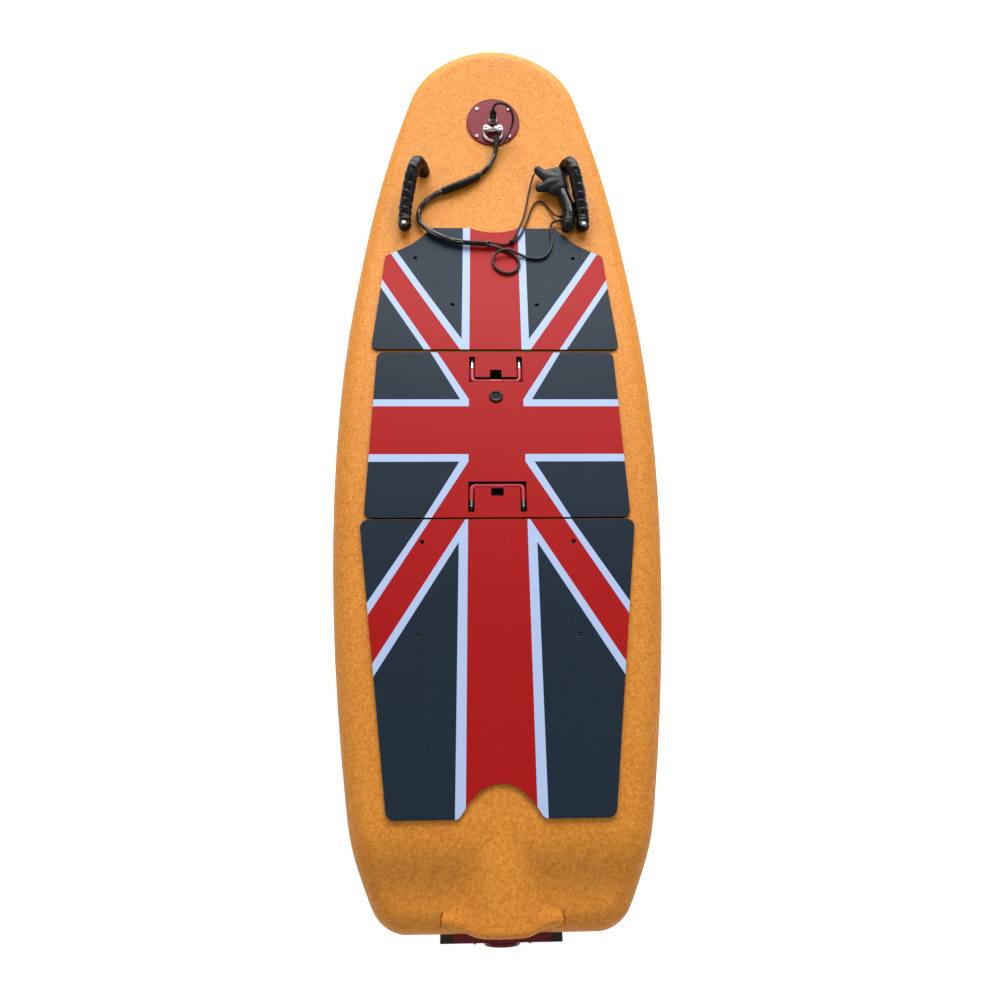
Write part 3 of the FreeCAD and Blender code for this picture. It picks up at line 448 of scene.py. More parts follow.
# Nodes that show as they are. A piece made below replaces each of the others.
nodeFinish = {
    "lid": "blackPlastic", "lid_seal": "blackRubber", "bail_front": "bailCoat", "bail_rear": "bailCoat",
    "battery": "blackPlastic", "motor": "aluminium", "ride_plate": "darkMetal", "intake_grille": "brushedSteel",
    "pump_housing": "darkRedMetal", "pump_stator": "aluminium", "impeller": "aluminium",
    "deck_inserts": "brushedSteel", "fin_boxes": "blackPlastic", "bridle_knot": "blackRubber",
    "tie_ring": "steel"}
for place in ("front", "lid", "rear"):
    for colour in ("red", "white", "grey"):
        nodeFinish[f"pad_{place}_{colour}"] = f"{colour}Pad"
for name, material in nodeFinish.items():
    nodes[name].data.materials.clear()
    nodes[name].data.materials.append(finish[material])
rubber, steel, plastic = finish["blackRubber"], finish["steel"], finish["blackPlastic"]
print("materials made")

# Cords: the look of the braid, and control points of each route in metres
cordLook = {"tetherCore": 0.0054, "strandRise": 0.0009, "strandsEachWay": 4, "strandPitch": 0.05,
            "strandWidth": 0.0072, "strandThick": 0.003, "sleeveFrom": 0.118, "sleeveTo": 0.214,
            "sleeveRadius": 0.0074, "sleeveBulge": 0.0016, "bulgeAt": 0.048, "bulgeHalf": 0.052,
            "sleeveWrinkle": 0.0008, "wrinkleScale": 160, "sampleStep": 0.0022}
tetherRoute = [
    (0.008, 0.6932, 0.2159), (0.0085, 0.6752, 0.2107), (0.004, 0.6492, 0.2019), (-0.012, 0.6162, 0.1942),
    (-0.034, 0.5922, 0.1897), (-0.064, 0.5722, 0.1881), (-0.098, 0.5572, 0.1856), (-0.134, 0.5412, 0.1811),
    (-0.162, 0.5182, 0.1776), (-0.176, 0.4892, 0.1737), (-0.171, 0.4582, 0.172), (-0.148, 0.4302, 0.1725),
    (-0.112, 0.4092, 0.1704), (-0.074, 0.3992, 0.1695), (-0.04, 0.3962, 0.1693), (-0.01, 0.3962, 0.1693)]
leadRoute = [
    (0.0, 0.7372, 0.254), (0.001, 0.7342, 0.2661), (0.009, 0.7272, 0.2773), (0.023, 0.7252, 0.2788),
    (0.036, 0.7252, 0.2718), (0.045, 0.7232, 0.2583), (0.048, 0.7182, 0.245), (0.045, 0.7102, 0.233),
    (0.037, 0.6962, 0.2226), (0.027, 0.6832, 0.2165), (0.017, 0.6692, 0.2113)]
controlRoute = [
    (-0.0096, 0.3928, 0.1668), (0.008, 0.3892, 0.1645), (0.024, 0.3822, 0.1635), (0.038, 0.3732, 0.1629),
    (0.052, 0.3602, 0.1621), (0.058, 0.3402, 0.161), (0.049, 0.3222, 0.1601), (0.029, 0.3142, 0.1598),
    (0.008, 0.3232, 0.1602), (-0.004, 0.3422, 0.1611), (-0.002, 0.3622, 0.1637), (0.012, 0.3752, 0.171),
    (0.036, 0.3772, 0.1712), (0.06, 0.3672, 0.163), (0.084, 0.3582, 0.162), (0.106, 0.3582, 0.162),
    (0.122, 0.3702, 0.1627), (0.131, 0.3922, 0.1643), (0.134, 0.4182, 0.1665), (0.131, 0.4362, 0.1682),
    (0.131, 0.4502, 0.1696), (0.134, 0.4602, 0.1702), (0.141, 0.4652, 0.1718), (0.1523, 0.4642, 0.1747)]
longBridleRoute = [
    (-0.0096, 0.3998, 0.1684), (0.006, 0.4002, 0.1654), (0.022, 0.3972, 0.1642), (0.036, 0.4012, 0.1645),
    (0.046, 0.4162, 0.1658), (0.054, 0.4362, 0.1675), (0.063, 0.4582, 0.1698), (0.071, 0.4842, 0.1691),
    (0.077, 0.5142, 0.1731), (0.082, 0.5422, 0.1772), (0.087, 0.5672, 0.1843), (0.093, 0.5842, 0.1942),
    (0.096, 0.59, 0.1974)]
shortBridleRoute = [
    (0.044, 0.4042, 0.1667), (0.054, 0.4142, 0.1656), (0.064, 0.4312, 0.1671), (0.073, 0.4532, 0.1693),
    (0.08, 0.4782, 0.1683), (0.088, 0.5062, 0.172), (0.101, 0.5262, 0.1748), (0.117, 0.5252, 0.1746),
    (0.129, 0.5062, 0.172), (0.14, 0.4842, 0.1711), (0.152, 0.4752, 0.176)]


# The last steps that the geometry trees share
def paint(tree, given, made, shape):
    painted = addNode(tree, "GeometryNodeSetMaterial", {"Geometry": shape, "Material": given["Finish"]})
    deliver(tree, made, Geometry=painted)


def joined(tree, *shapes):
    made = addNode(tree, "GeometryNodeJoinGeometry")
    for shape in shapes:
        tree.links.new(shape.outputs[0], made.inputs[0])
    return made


# Sets a shape on every point, turned to face the way that the point says
def setOnPoints(tree, given, shape):
    facing = addNode(tree, "GeometryNodeInputNamedAttribute", {"Name": "facing"}, data_type="FLOAT_VECTOR")
    turn = addNode(tree, "FunctionNodeAlignRotationToVector", {"Vector": facing}, axis="Z")
    placed = addNode(tree, "GeometryNodeInstanceOnPoints", {
        "Points": given["Geometry"], "Instance": shape, "Rotation": turn})
    return addNode(tree, "GeometryNodeRealizeInstances", {"Geometry": placed})


# Tree that winds flat strands both ways round a line
def makeBraidTree():
    tree, given, made = newTree("braidSleeve", "GeometryNodeTree", {
        "Geometry": None, "Core Radius": 0.006, "Rise": 0.0006, "Pitch": 0.05, "Strands": 6, "Width": 0.004,
        "Thickness": 0.001, "Finish": None}, ("Geometry",))
    bundles = []
    for way in (1.0, -1.0):
        copies = addNode(tree, "GeometryNodeDuplicateElements", {
            "Geometry": given["Geometry"], "Amount": given["Strands"]}, domain="SPLINE")
        length = addNode(tree, "GeometryNodeSplineParameter").outputs["Length"]
        turns = calc(tree, "DIVIDE", length, given["Pitch"])
        phase = calc(tree, "DIVIDE", copies.outputs["Duplicate Index"], given["Strands"])
        angle = calc(tree, "MULTIPLY", calc(tree, "MULTIPLY_ADD", turns, way, phase), fullTurn)
        crossings = calc(tree, "MULTIPLY", turns, given["Strands"])
        beat = calc(tree, "ADD", calc(tree, "MULTIPLY", crossings, fullTurn), 0.0 if way > 0 else math.pi)
        radius = calc(tree, "MULTIPLY_ADD", calc(tree, "COSINE", beat), given["Rise"], given["Core Radius"])
        normal = addNode(tree, "GeometryNodeInputNormal")
        tangent = addNode(tree, "GeometryNodeInputTangent")
        across = addNode(tree, "ShaderNodeVectorMath", {0: tangent, 1: normal}, operation="CROSS_PRODUCT")
        outward = addNode(tree, "ShaderNodeVectorMath", {
            0: scaled(tree, normal, calc(tree, "COSINE", angle)),
            1: scaled(tree, across, calc(tree, "SINE", angle))}, operation="ADD")
        kept = addNode(tree, "GeometryNodeStoreNamedAttribute", {
            "Geometry": copies.outputs["Geometry"], "Name": "outward", "Value": outward},
            data_type="FLOAT_VECTOR", domain="POINT")
        wound = addNode(tree, "GeometryNodeSetPosition", {
            "Geometry": kept, "Offset": scaled(tree, outward, radius)})
        facing = addNode(tree, "GeometryNodeInputNamedAttribute", {"Name": "outward"}, data_type="FLOAT_VECTOR")
        faced = addNode(tree, "GeometryNodeSetCurveNormal", {"Curve": wound, "Normal": facing}, mode="FREE")
        ring = addNode(tree, "GeometryNodeCurvePrimitiveCircle", {"Resolution": 8, "Radius": 1.0})
        size = addNode(tree, "ShaderNodeCombineXYZ", {0: given["Thickness"], 1: given["Width"], 2: 1.0})
        section = addNode(tree, "GeometryNodeTransform", {"Geometry": ring, "Scale": scaled(tree, size, 0.5)})
        bundles.append(addNode(tree, "GeometryNodeCurveToMesh", {
            "Curve": faced, "Profile Curve": section, "Fill Caps": True}))
    real = addNode(tree, "GeometryNodeRealizeInstances", {"Geometry": joined(tree, *bundles)})
    paint(tree, given, made, addNode(tree, "GeometryNodeSetShadeSmooth", {"Geometry": real}))
    return tree


# Runs a tree on an object of the board and keeps the plain mesh it gives
def grow(source, tree, values, name, material, smooth=True):
    modifier = source.modifiers.new("grow", "NODES")
    modifier.node_group = tree
    for item in tree.interface.items_tree:
        if item.item_type == "SOCKET" and item.in_out == "INPUT" and item.name in values:
            modifier[item.identifier] = values[item.name]
    mesh = finalMesh(source)
    bpy.data.objects.remove(source)
    made = addObject(name, mesh, material, smooth)
    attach(made, "board")
    return made


def makeCord(name, points, diameter, material, node, core=None, length=None):
    cord = splineCurve(name, points, core or diameter / 2)
    cord.data.materials.append(material)
    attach(cord, "board")
    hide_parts(node)
    length or float(runAlong(splineLine(points))[-1])


# The smoother stretch where a tube is pulled over the braid
def sleeveRadius(run, angle):
    wrinkle = noise.noise(Vector((run * cordLook["wrinkleScale"], math.cos(angle) * 1.2, math.sin(angle) * 1.2)))
    bulge = 1 - abs(run - cordLook["bulgeAt"]) / cordLook["bulgeHalf"]
    return (cordLook["sleeveRadius"] + cordLook["sleeveBulge"] * max(bulge, 0) ** 0.5
            + cordLook["sleeveWrinkle"] * wrinkle)


braid = grow(splineCurve("tetherBraid", tetherRoute), makeBraidTree(), {
    "Core Radius": cordLook["tetherCore"] + 0.0003, "Rise": cordLook["strandRise"],
    "Pitch": cordLook["strandPitch"], "Strands": cordLook["strandsEachWay"], "Width": cordLook["strandWidth"],
    "Thickness": cordLook["strandThick"], "Finish": finish["braid"]}, "tetherBraid", finish["braid"])
tetherLine = splineLine(tetherRoute)
tetherPath = evenLine(tetherLine, cordLook["sampleStep"])
stepsAlong = len(tetherPath) / float(runAlong(tetherLine)[-1])
sleevePath = tetherPath[int(cordLook["sleeveFrom"] * stepsAlong):int(cordLook["sleeveTo"] * stepsAlong)]
sleeve = sweptTube("tetherSleeve", sleevePath, sleeveRadius, rubber, 20)
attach(sleeve, "board")
makeCord("tetherCore", tetherRoute, 0.015, rubber, "tether",
         cordLook["tetherCore"], 0.5125)
makeCord("leadCable", leadRoute, 0.006, finish["cableJacket"], "lead_cable")
makeCord("controlCable", controlRoute, 0.006, finish["cableJacket"], "control_cable")
makeCord("longBridle", longBridleRoute, 0.0045, finish["thinCord"], "bridle_long")
makeCord("shortBridle", shortBridleRoute, 0.0045, finish["thinCord"], "bridle_short")
print("cords laid")

# Foam skin: a copy of the hull with its tail edge rounded like the foam moulding. Places are in metres,
# and those along the board are counted towards the tail.
skinLook = {"tailStart": 0.8, "transom": 0.9325, "stretch": 0.0043, "humpHalf": 0.093, "humpFloor": 0.1085,
            "humpShift": 0.0089, "sideShift": 0.012, "sideFrom": 0.03, "sideTo": 0.085,
            "pullFrom": 0.885, "pullTo": 0.94, "fineFrom": 0.895, "fineHalf": 0.15, "fineFloor": 0.09,
            "longEdge": 0.006, "fineRounds": 2, "sharpAngle": 50}


def smoothRise(value, low, high):
    share = min(max((value - low) / (high - low), 0), 1)
    return share * share * (3 - 2 * share)


def tailPlace(place):
    x, y, z = place
    if abs(x) <= skinLook["humpHalf"] and z > skinLook["humpFloor"]:
        side = smoothRise(abs(x), skinLook["sideFrom"], skinLook["sideTo"])
        y += ((skinLook["humpShift"] + skinLook["sideShift"] * side)
              * smoothRise(-y, skinLook["pullFrom"], skinLook["pullTo"]))
    return Vector((x, y - skinLook["stretch"] * smoothRise(-y, skinLook["tailStart"], skinLook["transom"]), z))


def nearTail(vertex):
    return (vertex.co.y < -skinLook["fineFrom"] and abs(vertex.co.x) < skinLook["fineHalf"]
            and vertex.co.z > skinLook["fineFloor"])


work = bmesh.new()
work.from_mesh(nodes["hull"].data)
bmesh.ops.remove_doubles(work, verts=work.verts, dist=1e-5)
for cut in range(skinLook["fineRounds"]):
    longEdges = [edge for edge in work.edges if edge.calc_length() > skinLook["longEdge"]
                 and all(nearTail(vertex) for vertex in edge.verts)]
    bmesh.ops.subdivide_edges(work, edges=longEdges, cuts=1)
    bmesh.ops.triangulate(work, faces=[face for face in work.faces if len(face.verts) > 4])
for vertex in work.verts:
    if vertex.co.y < -skinLook["tailStart"]:
        vertex.co = tailPlace(vertex.co)
skinMesh = bpy.data.meshes.new("foamSkin")
work.to_mesh(skinMesh)
work.free()
foamSkin = crisp(addObject("foamSkin", skinMesh, finish["orangeFoam"]), skinLook["sharpAngle"])
weigh = foamSkin.modifiers.new("weigh", "WEIGHTED_NORMAL")
weigh.keep_sharp = True
bakeModifiers(foamSkin)
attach(foamSkin, "board")
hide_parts("hull")
print("foam skin made")


# Nose plate and what it carries, in the tilted frame of the plate
noseLook = {"place": (0, 0.74522, 0.21599), "tilt": 14.95, "plateTop": 0.0042, "screwX": 0.039, "screwY": 0.037,
            "screwShift": -0.003, "bracketY": -0.022, "bracketTop": 0.0072, "bracketScrewX": 0.017,
            "bracketScrewY": 0.0055, "barHeight": 0.0107, "saddleRadius": 0.0062, "saddleHalf": 0.0125,
            "connectorY": 0.002, "knurls": 24, "knurlDepth": 0.0007, "sharpAngle": 50}
noseFrame = Matrix.Translation(noseLook["place"]) @ Matrix.Rotation(math.radians(noseLook["tilt"]), 4, "X")
settle(turned("nosePlate", [
    (0.0636, 0.0004), (0.0639, 0.0008), (0.0639, 0.003), (0.063, 0.0041), (0.0618, 0.0042), (0.0605, 0.0042),
    (0.0601, 0.0038), (0.0596, 0.0038), (0.0592, 0.0042), (0.0, 0.0042)], finish["redMetal"], 96, noseFrame),
    "board", "nose_plate")
# A thin black rubber ring just outside and under the plate's rim, which gives the plate a dark lower edge
settle(turned("noseBlackRing", [(0.064, -0.0018), (0.0642, -0.001), (0.0642, 0.0006), (0.0, 0.0006)],
              rubber, 96, noseFrame), "board")


# Tree that sets a socket screw on every point. Factors are shares of the head's radius or height.
def makeScrewTree():
    tree, given, made = newTree("screwSet", "GeometryNodeTree", {
        "Geometry": None, "Head Radius": 0.004, "Head Height": 0.002, "Socket Radius": 0.002, "Finish": None},
        ("Geometry",))
    radius, height = given["Head Radius"], given["Head Height"]

    def share(value, factor):
        return calc(tree, "MULTIPLY", value, factor)

    def lifted(shape, factor):
        move = addNode(tree, "ShaderNodeCombineXYZ", {2: share(height, factor)})
        return addNode(tree, "GeometryNodeTransform", {"Geometry": shape, "Translation": move})
    body = addNode(tree, "GeometryNodeMeshCylinder", {
        "Vertices": 24, "Radius": radius, "Depth": share(height, 0.6)})
    crown = addNode(tree, "GeometryNodeMeshCone", {
        "Vertices": 24, "Radius Top": share(radius, 0.8), "Radius Bottom": radius, "Depth": share(height, 0.5)})
    socket = addNode(tree, "GeometryNodeMeshCylinder", {
        "Vertices": 6, "Radius": given["Socket Radius"], "Depth": height})
    bored = addNode(tree, "GeometryNodeMeshBoolean", {"Mesh 1": lifted(crown, 0.0), "Mesh 2": lifted(socket, 0.4)},
                    operation="DIFFERENCE")
    real = setOnPoints(tree, given, joined(tree, lifted(body, 0.3), lifted(bored, 0.84)))
    paint(tree, given, made, addNode(tree, "GeometryNodeSetShadeSmooth", {
        "Geometry": real, "Shade Smooth": False}))
    return tree


# Points that carry the way they face
def facingPoints(name, places):
    mesh = bpy.data.meshes.new(name)
    mesh.from_pydata([tuple(place) for place, way in places], [], [])
    facing = mesh.attributes.new("facing", "FLOAT_VECTOR", "POINT")
    for index, (place, way) in enumerate(places):
        facing.data[index].vector = way
    return linked(name, mesh)


screwTree = makeScrewTree()
socketShare = 0.48


def screws(name, places, radius, height, *replaced):
    made = grow(facingPoints(name, places), screwTree, {
        "Head Radius": radius, "Head Height": height, "Socket Radius": radius * socketShare,
        "Finish": steel}, name, steel, False)
    if replaced:
        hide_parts(*replaced)


def onNose(x, y, z):
    return noseFrame @ Vector((x, y, z)), noseUp


noseUp = (noseFrame.to_3x3() @ Vector((0, 0, 1))).normalized()
screws("noseScrews", [onNose(x * noseLook["screwX"], y * noseLook["screwY"] + noseLook["screwShift"],
                             noseLook["plateTop"]) for x in (1, -1) for y in (1, -1)],
       0.0043, 0.002, "nose_screws")
screws("bracketScrews", [onNose(x * noseLook["bracketScrewX"], noseLook["bracketY"] + noseLook["bracketScrewY"],
                                noseLook["bracketTop"]) for x in (1, -1)], 0.0039, 0.002, "bracket_screws")


# A flat shape with an outline, thickness and rounded edges
def slab(name, outline, low, high, bevel, material, place, segments=3):
    count = len(outline)
    points = [Vector((x, y, low)) for x, y in outline] + [Vector((x, y, high)) for x, y in outline]
    faces = [tuple(range(count))[::-1], tuple(range(count, 2 * count))]
    for index in range(count):
        ahead = (index + 1) % count
        faces.append((index, ahead, count + ahead, count + index))
    piece = meshPiece(name, points, faces, material)
    rounding = piece.modifiers.new("edge", "BEVEL")
    rounding.width = bevel
    rounding.segments = segments
    rounding.limit_method = "ANGLE"
    rounding.angle_limit = math.radians(40)
    bakeModifiers(piece)
    piece.data.transform(place)
    return crisp(piece, 50)


def arcPoints(x, y, radius, start, end, steps=12):
    angles = [math.radians(start + (end - start) * step / steps) for step in range(steps + 1)]
    return [(x + radius * math.cos(angle), y + radius * math.sin(angle)) for angle in angles]


def joinPieces(name, pieces, material):
    work = bmesh.new()
    for piece in pieces:
        work.from_mesh(piece.data)
        bpy.data.objects.remove(piece)
    mesh = bpy.data.meshes.new(name)
    work.to_mesh(mesh)
    work.free()
    return addObject(name, mesh, material)


y = noseLook["bracketY"]
lobes = (arcPoints(0.0165, y + 0.005, 0.0066, -60, 150) + arcPoints(-0.0165, y + 0.005, 0.0066, 30, 240)
         + arcPoints(-0.015, y - 0.007, 0.004, 150, 270, 6) + arcPoints(0.015, y - 0.007, 0.004, -90, 30, 6))
base = slab("bracketBase", lobes, noseLook["plateTop"], noseLook["bracketTop"], 0.0009, steel, noseFrame)
saddleOutline = (arcPoints(y - 0.006, noseLook["barHeight"], noseLook["saddleRadius"], 205, -15, 18)
                 + [(y - 0.0006, 0.007), (y - 0.0122, 0.007)])
stand = Matrix(((0, 0, 1, 0), (1, 0, 0, 0), (0, 1, 0, 0), (0, 0, 0, 1)))
saddle = slab("bracketSaddle", saddleOutline, -noseLook["saddleHalf"], noseLook["saddleHalf"], 0.001,
              steel, noseFrame @ stand)
bracket = settle(joinPieces("ringBracket", [base, saddle], steel), "board", "ring_bracket")
crisp(bracket, noseLook["sharpAngle"])

connectorFrame = noseFrame @ Matrix.Translation((0, noseLook["connectorY"], 0))
settle(turned("connectorNut", [
    (0.0098, 0.0042), (0.0104, 0.0046), (0.0104, 0.0072), (0.0098, 0.0078), (0.0086, 0.008), (0.0086, 0.0088),
    (0.009, 0.0094), (0.009, 0.0128), (0.0084, 0.0132), (0.0084, 0.0138), (0.009, 0.0142), (0.009, 0.0184),
    (0.0085, 0.019), (0.0, 0.019)], finish["brushedSteel"], 96, connectorFrame, noseLook["knurls"],
    noseLook["knurlDepth"], (7, 11)), "board", "cable_connector")
settle(turned("connectorRing", [
    (0.0074, 0.0275), (0.0081, 0.0279), (0.0081, 0.031), (0.0074, 0.0314), (0.0, 0.0314)],
    finish["greenRing"], 48, connectorFrame), "board")
settle(turned("connectorRelief", [
    (0.0078, 0.0189), (0.0083, 0.0193), (0.0083, 0.0268), (0.0076, 0.0275), (0.0076, 0.0313), (0.008, 0.0318),
    (0.0078, 0.0334), (0.0066, 0.034), (0.0066, 0.0345), (0.0069, 0.035), (0.006, 0.0376), (0.0046, 0.0382),
    (0.0, 0.0382)], rubber, 48, connectorFrame), "board")
print("nose fittings made")


# Hand straps: a bent bar wound with tape, screwed down at its rear end. Lap is the share of a turn over
# which the tape rises before it drops to the next turn.
strapLook = {"radius": 0.0148, "pitch": 0.019, "step": 0.045, "lap": 0.86, "wrinkle": 0.0018,
             "wrinkleScale": 95, "wrinkleRound": 1.7, "sampleStep": 0.0012, "screwX": 0.204,
             "screwY": 0.43522, "screwZ": 0.19025}
strapRoute = [
    (0.204, 0.4422, 0.1756), (0.206, 0.4682, 0.1801), (0.196, 0.5182, 0.2086), (0.183, 0.5682, 0.2354),
    (0.171, 0.5982, 0.2248), (0.165, 0.6082, 0.1845)]


def tapeRadius(run, angle):
    turnsAlong = run / strapLook["pitch"] - angle / fullTurn
    part = turnsAlong - math.floor(turnsAlong)
    lap = strapLook["lap"]
    rise = part if part < lap else (1 - part) / (1 - lap) * lap
    crease = noise.noise(Vector((run * strapLook["wrinkleScale"], math.cos(angle) * strapLook["wrinkleRound"],
                                 math.sin(angle) * strapLook["wrinkleRound"])))
    return (strapLook["radius"] * (1 - strapLook["step"] + 2 * strapLook["step"] * rise)
            + strapLook["wrinkle"] * crease)


for side, label in ((1, "right"), (-1, "left")):
    line = evenLine(splineLine([(side * x, y, z) for x, y, z in strapRoute]), strapLook["sampleStep"])
    strap = sweptTube(f"{label}Strap", line, tapeRadius, finish["tape"], 44)
    settle(strap, "board", f"hand_strap_{label}")
    settle(turned(f"{label}StrapFoot", [(0.0074, 0.185), (0.0078, 0.1893), (0.007, 0.1903), (0.0, 0.1903)],
                  plastic, 32,
                  Matrix.Translation((side * strapLook["screwX"], strapLook["screwY"], 0))), "board")
screws("strapScrews", [(Vector((x * strapLook["screwX"], strapLook["screwY"], strapLook["screwZ"])),
                        Vector((0, 0, 1))) for x in (1, -1)], 0.004, 0.003, "strap_screws")
print("hand straps made")


# Hand controller. Each line is a run of soft lumps: to the side, along, height, radius.
controllerLook = {"voxel": 0.001, "spacing": 0.0022, "headRounds": 45, "gripRounds": 12, "softening": 0.5,
                  "hornRadius": 0.0096, "ridgeDepth": 0.0004, "ridgePitch": 0.0045, "rimDepth": 0.0008,
                  "rimLength": 0.0012, "hornStep": 0.0006, "glandX": 0.157,
                  "glandYZ": ((0.4642, 0.1747), (0.4752, 0.1763)), "glandWay": (-1, 0, -0.1)}
headLines = {
    "horn": [(0.1045, 0.597, 0.2016, 0.0098), (0.1164, 0.5855, 0.1989, 0.0112), (0.1323, 0.5737, 0.1974, 0.0155),
             (0.1476, 0.5676, 0.1968, 0.017)],
    "prong": [(0.1067, 0.5511, 0.1906, 0.0094), (0.1181, 0.5532, 0.1915, 0.0106), (0.1319, 0.5575, 0.1937, 0.015),
              (0.1456, 0.5587, 0.1948, 0.017)],
    "crown": [(0.1248, 0.5864, 0.1991, 0.011), (0.1396, 0.586, 0.1995, 0.014), (0.1528, 0.588, 0.2004, 0.015),
              (0.1555, 0.5766, 0.1984, 0.0165), (0.1577, 0.5603, 0.1956, 0.017), (0.1607, 0.5453, 0.1927, 0.017)],
    "heel": [(0.1409, 0.5455, 0.1907, 0.013), (0.1539, 0.5469, 0.1925, 0.016)]}
gripLines = {
    "grip": [(0.1594, 0.5475, 0.1917, 0.0148), (0.166, 0.5205, 0.1875, 0.016), (0.172, 0.4969, 0.1843, 0.016),
             (0.1746, 0.4743, 0.1813, 0.0152), (0.1729, 0.457, 0.1787, 0.014)]}
footLines = {
    "foot": [(0.1721, 0.4547, 0.1789, 0.015), (0.17, 0.446, 0.1775, 0.0142), (0.1662, 0.4405, 0.1755, 0.0118)],
    "gland": [(0.1677, 0.4543, 0.1766, 0.0088), (0.1603, 0.4539, 0.1757, 0.0066)]}


# One closed soft skin over runs of lumps
def softBody(name, lines, rounds, material):
    work = bmesh.new()
    for rows in lines.values():
        for near, far in zip(rows, rows[1:]):
            steps = max(2, int((Vector(near[:3]) - Vector(far[:3])).length / controllerLook["spacing"]))
            for step in range(steps + 1):
                x, y, z, radius = (a + (b - a) * step / steps for a, b in zip(near, far))
                bmesh.ops.create_icosphere(
                    work, subdivisions=3, radius=radius, matrix=Matrix.Translation((x, y, z)))
    mesh = bpy.data.meshes.new(name)
    work.to_mesh(mesh)
    work.free()
    piece = addObject(name, mesh, material)
    remesh = piece.modifiers.new("skin", "REMESH")
    remesh.mode = "VOXEL"
    remesh.voxel_size = controllerLook["voxel"]
    soften = piece.modifiers.new("soften", "SMOOTH")
    soften.factor = controllerLook["softening"]
    soften.iterations = rounds
    bakeModifiers(piece)
    piece.data.materials.clear()
    piece.data.materials.append(material)
    piece.data.shade_smooth()
    return piece


def tiltedTo(place, direction):
    turn = Vector(direction).normalized().to_track_quat("Z", "Y").to_matrix().to_4x4()
    return Matrix.Translation(place) @ turn


settle(softBody("controllerHead", headLines, controllerLook["headRounds"], finish["controllerSkin"]),
       "board", "controller_head", "controller_trigger")
settle(softBody("controllerGrip", gripLines, controllerLook["gripRounds"], finish["glossBlack"]),
       "board", "controller_grip")
settle(softBody("controllerFoot", footLines, controllerLook["gripRounds"], rubber), "board")


def hornRadius(run, angle):
    return (controllerLook["hornRadius"] - controllerLook["ridgeDepth"]
            * math.cos(run * fullTurn / controllerLook["ridgePitch"])
            - controllerLook["rimDepth"] * (run < controllerLook["rimLength"]))


hornPath = evenLine([headLines["horn"][1][:3], headLines["horn"][0][:3]], controllerLook["hornStep"])
settle(sweptTube("hornCap", hornPath, hornRadius, rubber, 32, (False, True)), "board",
       "controller_horn")
glands = [turned("gland", [
    (0.0046, -0.008), (0.0046, 0.0), (0.004, 0.0012), (0.0036, 0.004), (0.0031, 0.0052), (0.0, 0.0052)],
    rubber, 32, tiltedTo(Vector((controllerLook["glandX"], y, z)), controllerLook["glandWay"]))
    for y, z in controllerLook["glandYZ"]]
settle(joinPieces("gripGlands", glands, rubber), "board")
print("hand controller made")


# Bail ends, valve and foam marks. Shift takes a place along the board to the frame's.
bailLook = {"x": 0.049, "z": 0.147, "start": 0.151, "shift": -0.08778}


def bailEnds(name, side, body, node):
    pieces = {"steel": [], "blackRubber": []}
    for x in (bailLook["x"], -bailLook["x"]):
        place = Vector((x, side * bailLook["start"] + bailLook["shift"], bailLook["z"]))
        frameHere = tiltedTo(place, (0, side, 0))
        pieces["steel"].append(turned("ferrule", [
            (0.0043, 0.0), (0.0048, 0.0004), (0.0048, 0.0022), (0.0044, 0.0026), (0.0044, 0.0122), (0.0048, 0.0126),
            (0.0048, 0.0146), (0.0043, 0.015), (0.0, 0.015)], steel, 40, frameHere))
        pieces["blackRubber"].append(turned("knuckle", [
            (0.0041, 0.0149), (0.0042, 0.0156), (0.0042, 0.0215), (0.0036, 0.0238), (0.002, 0.0248), (0.0, 0.025)],
            rubber, 40, frameHere))
    settle(crisp(joinPieces(name + "Ferrules", pieces["steel"], steel)), body, node)
    settle(joinPieces(name + "Knuckles", pieces["blackRubber"], rubber), body)


bailEnds("frontBail", 1, "bail_front", "bail_front_ends")
bailEnds("rearBail", -1, "bail_rear", "bail_rear_ends")

valveLook = {"place": (0, -0.00978, 0.15), "ridges": 32, "ridgeDepth": 0.0005, "ribHalfLength": 0.0075,
             "ribHalfWidth": 0.0009, "ribLow": 0.0066, "ribHigh": 0.0079, "ribEdge": 0.0004,
             "ribsAt": (-0.0036, 0.0, 0.0036)}
valveFrame = Matrix.Translation(valveLook["place"])
settle(turned("valveCap", [
    (0.0136, 0.0), (0.0139, 0.0004), (0.0139, 0.0066), (0.0133, 0.0077), (0.0124, 0.008), (0.0114, 0.008),
    (0.0108, 0.0074), (0.0098, 0.0068), (0.0, 0.0068)], plastic, 64, valveFrame,
    valveLook["ridges"], valveLook["ridgeDepth"], (1, 3)), "lid", "lid_valve")


def valveRib(middle):
    long, low, high = (valveLook["ribHalfLength"], middle - valveLook["ribHalfWidth"],
                       middle + valveLook["ribHalfWidth"])
    return slab("rib", [(-long, low), (long, low), (long, high), (-long, high)], valveLook["ribLow"],
                valveLook["ribHigh"], valveLook["ribEdge"], plastic, valveFrame)


ribs = [valveRib(middle) for middle in valveLook["ribsAt"]]
settle(joinPieces("valveRibs", ribs, plastic), "lid")


# Tree that lays a mark of two round moulding rings on every point
def makeMarkTree():
    tree, given, made = newTree("foamMarks", "GeometryNodeTree", {
        "Geometry": None, "Radius": 0.008, "Finish": None}, ("Geometry",))

    def circle(sides, factor):
        return addNode(tree, "GeometryNodeCurvePrimitiveCircle", {
            "Resolution": sides, "Radius": calc(tree, "MULTIPLY", given["Radius"], factor)})
    rings = []
    for factor, band in ((1.0, 0.12), (0.55, 0.1)):
        tube = addNode(tree, "GeometryNodeCurveToMesh", {
            "Curve": circle(40, factor), "Profile Curve": circle(8, band)})
        rings.append(addNode(tree, "GeometryNodeTransform", {"Geometry": tube, "Scale": (1.0, 1.0, 0.5)}))
    paint(tree, given, made, setOnPoints(tree, given, joined(tree, *rings)))
    return tree


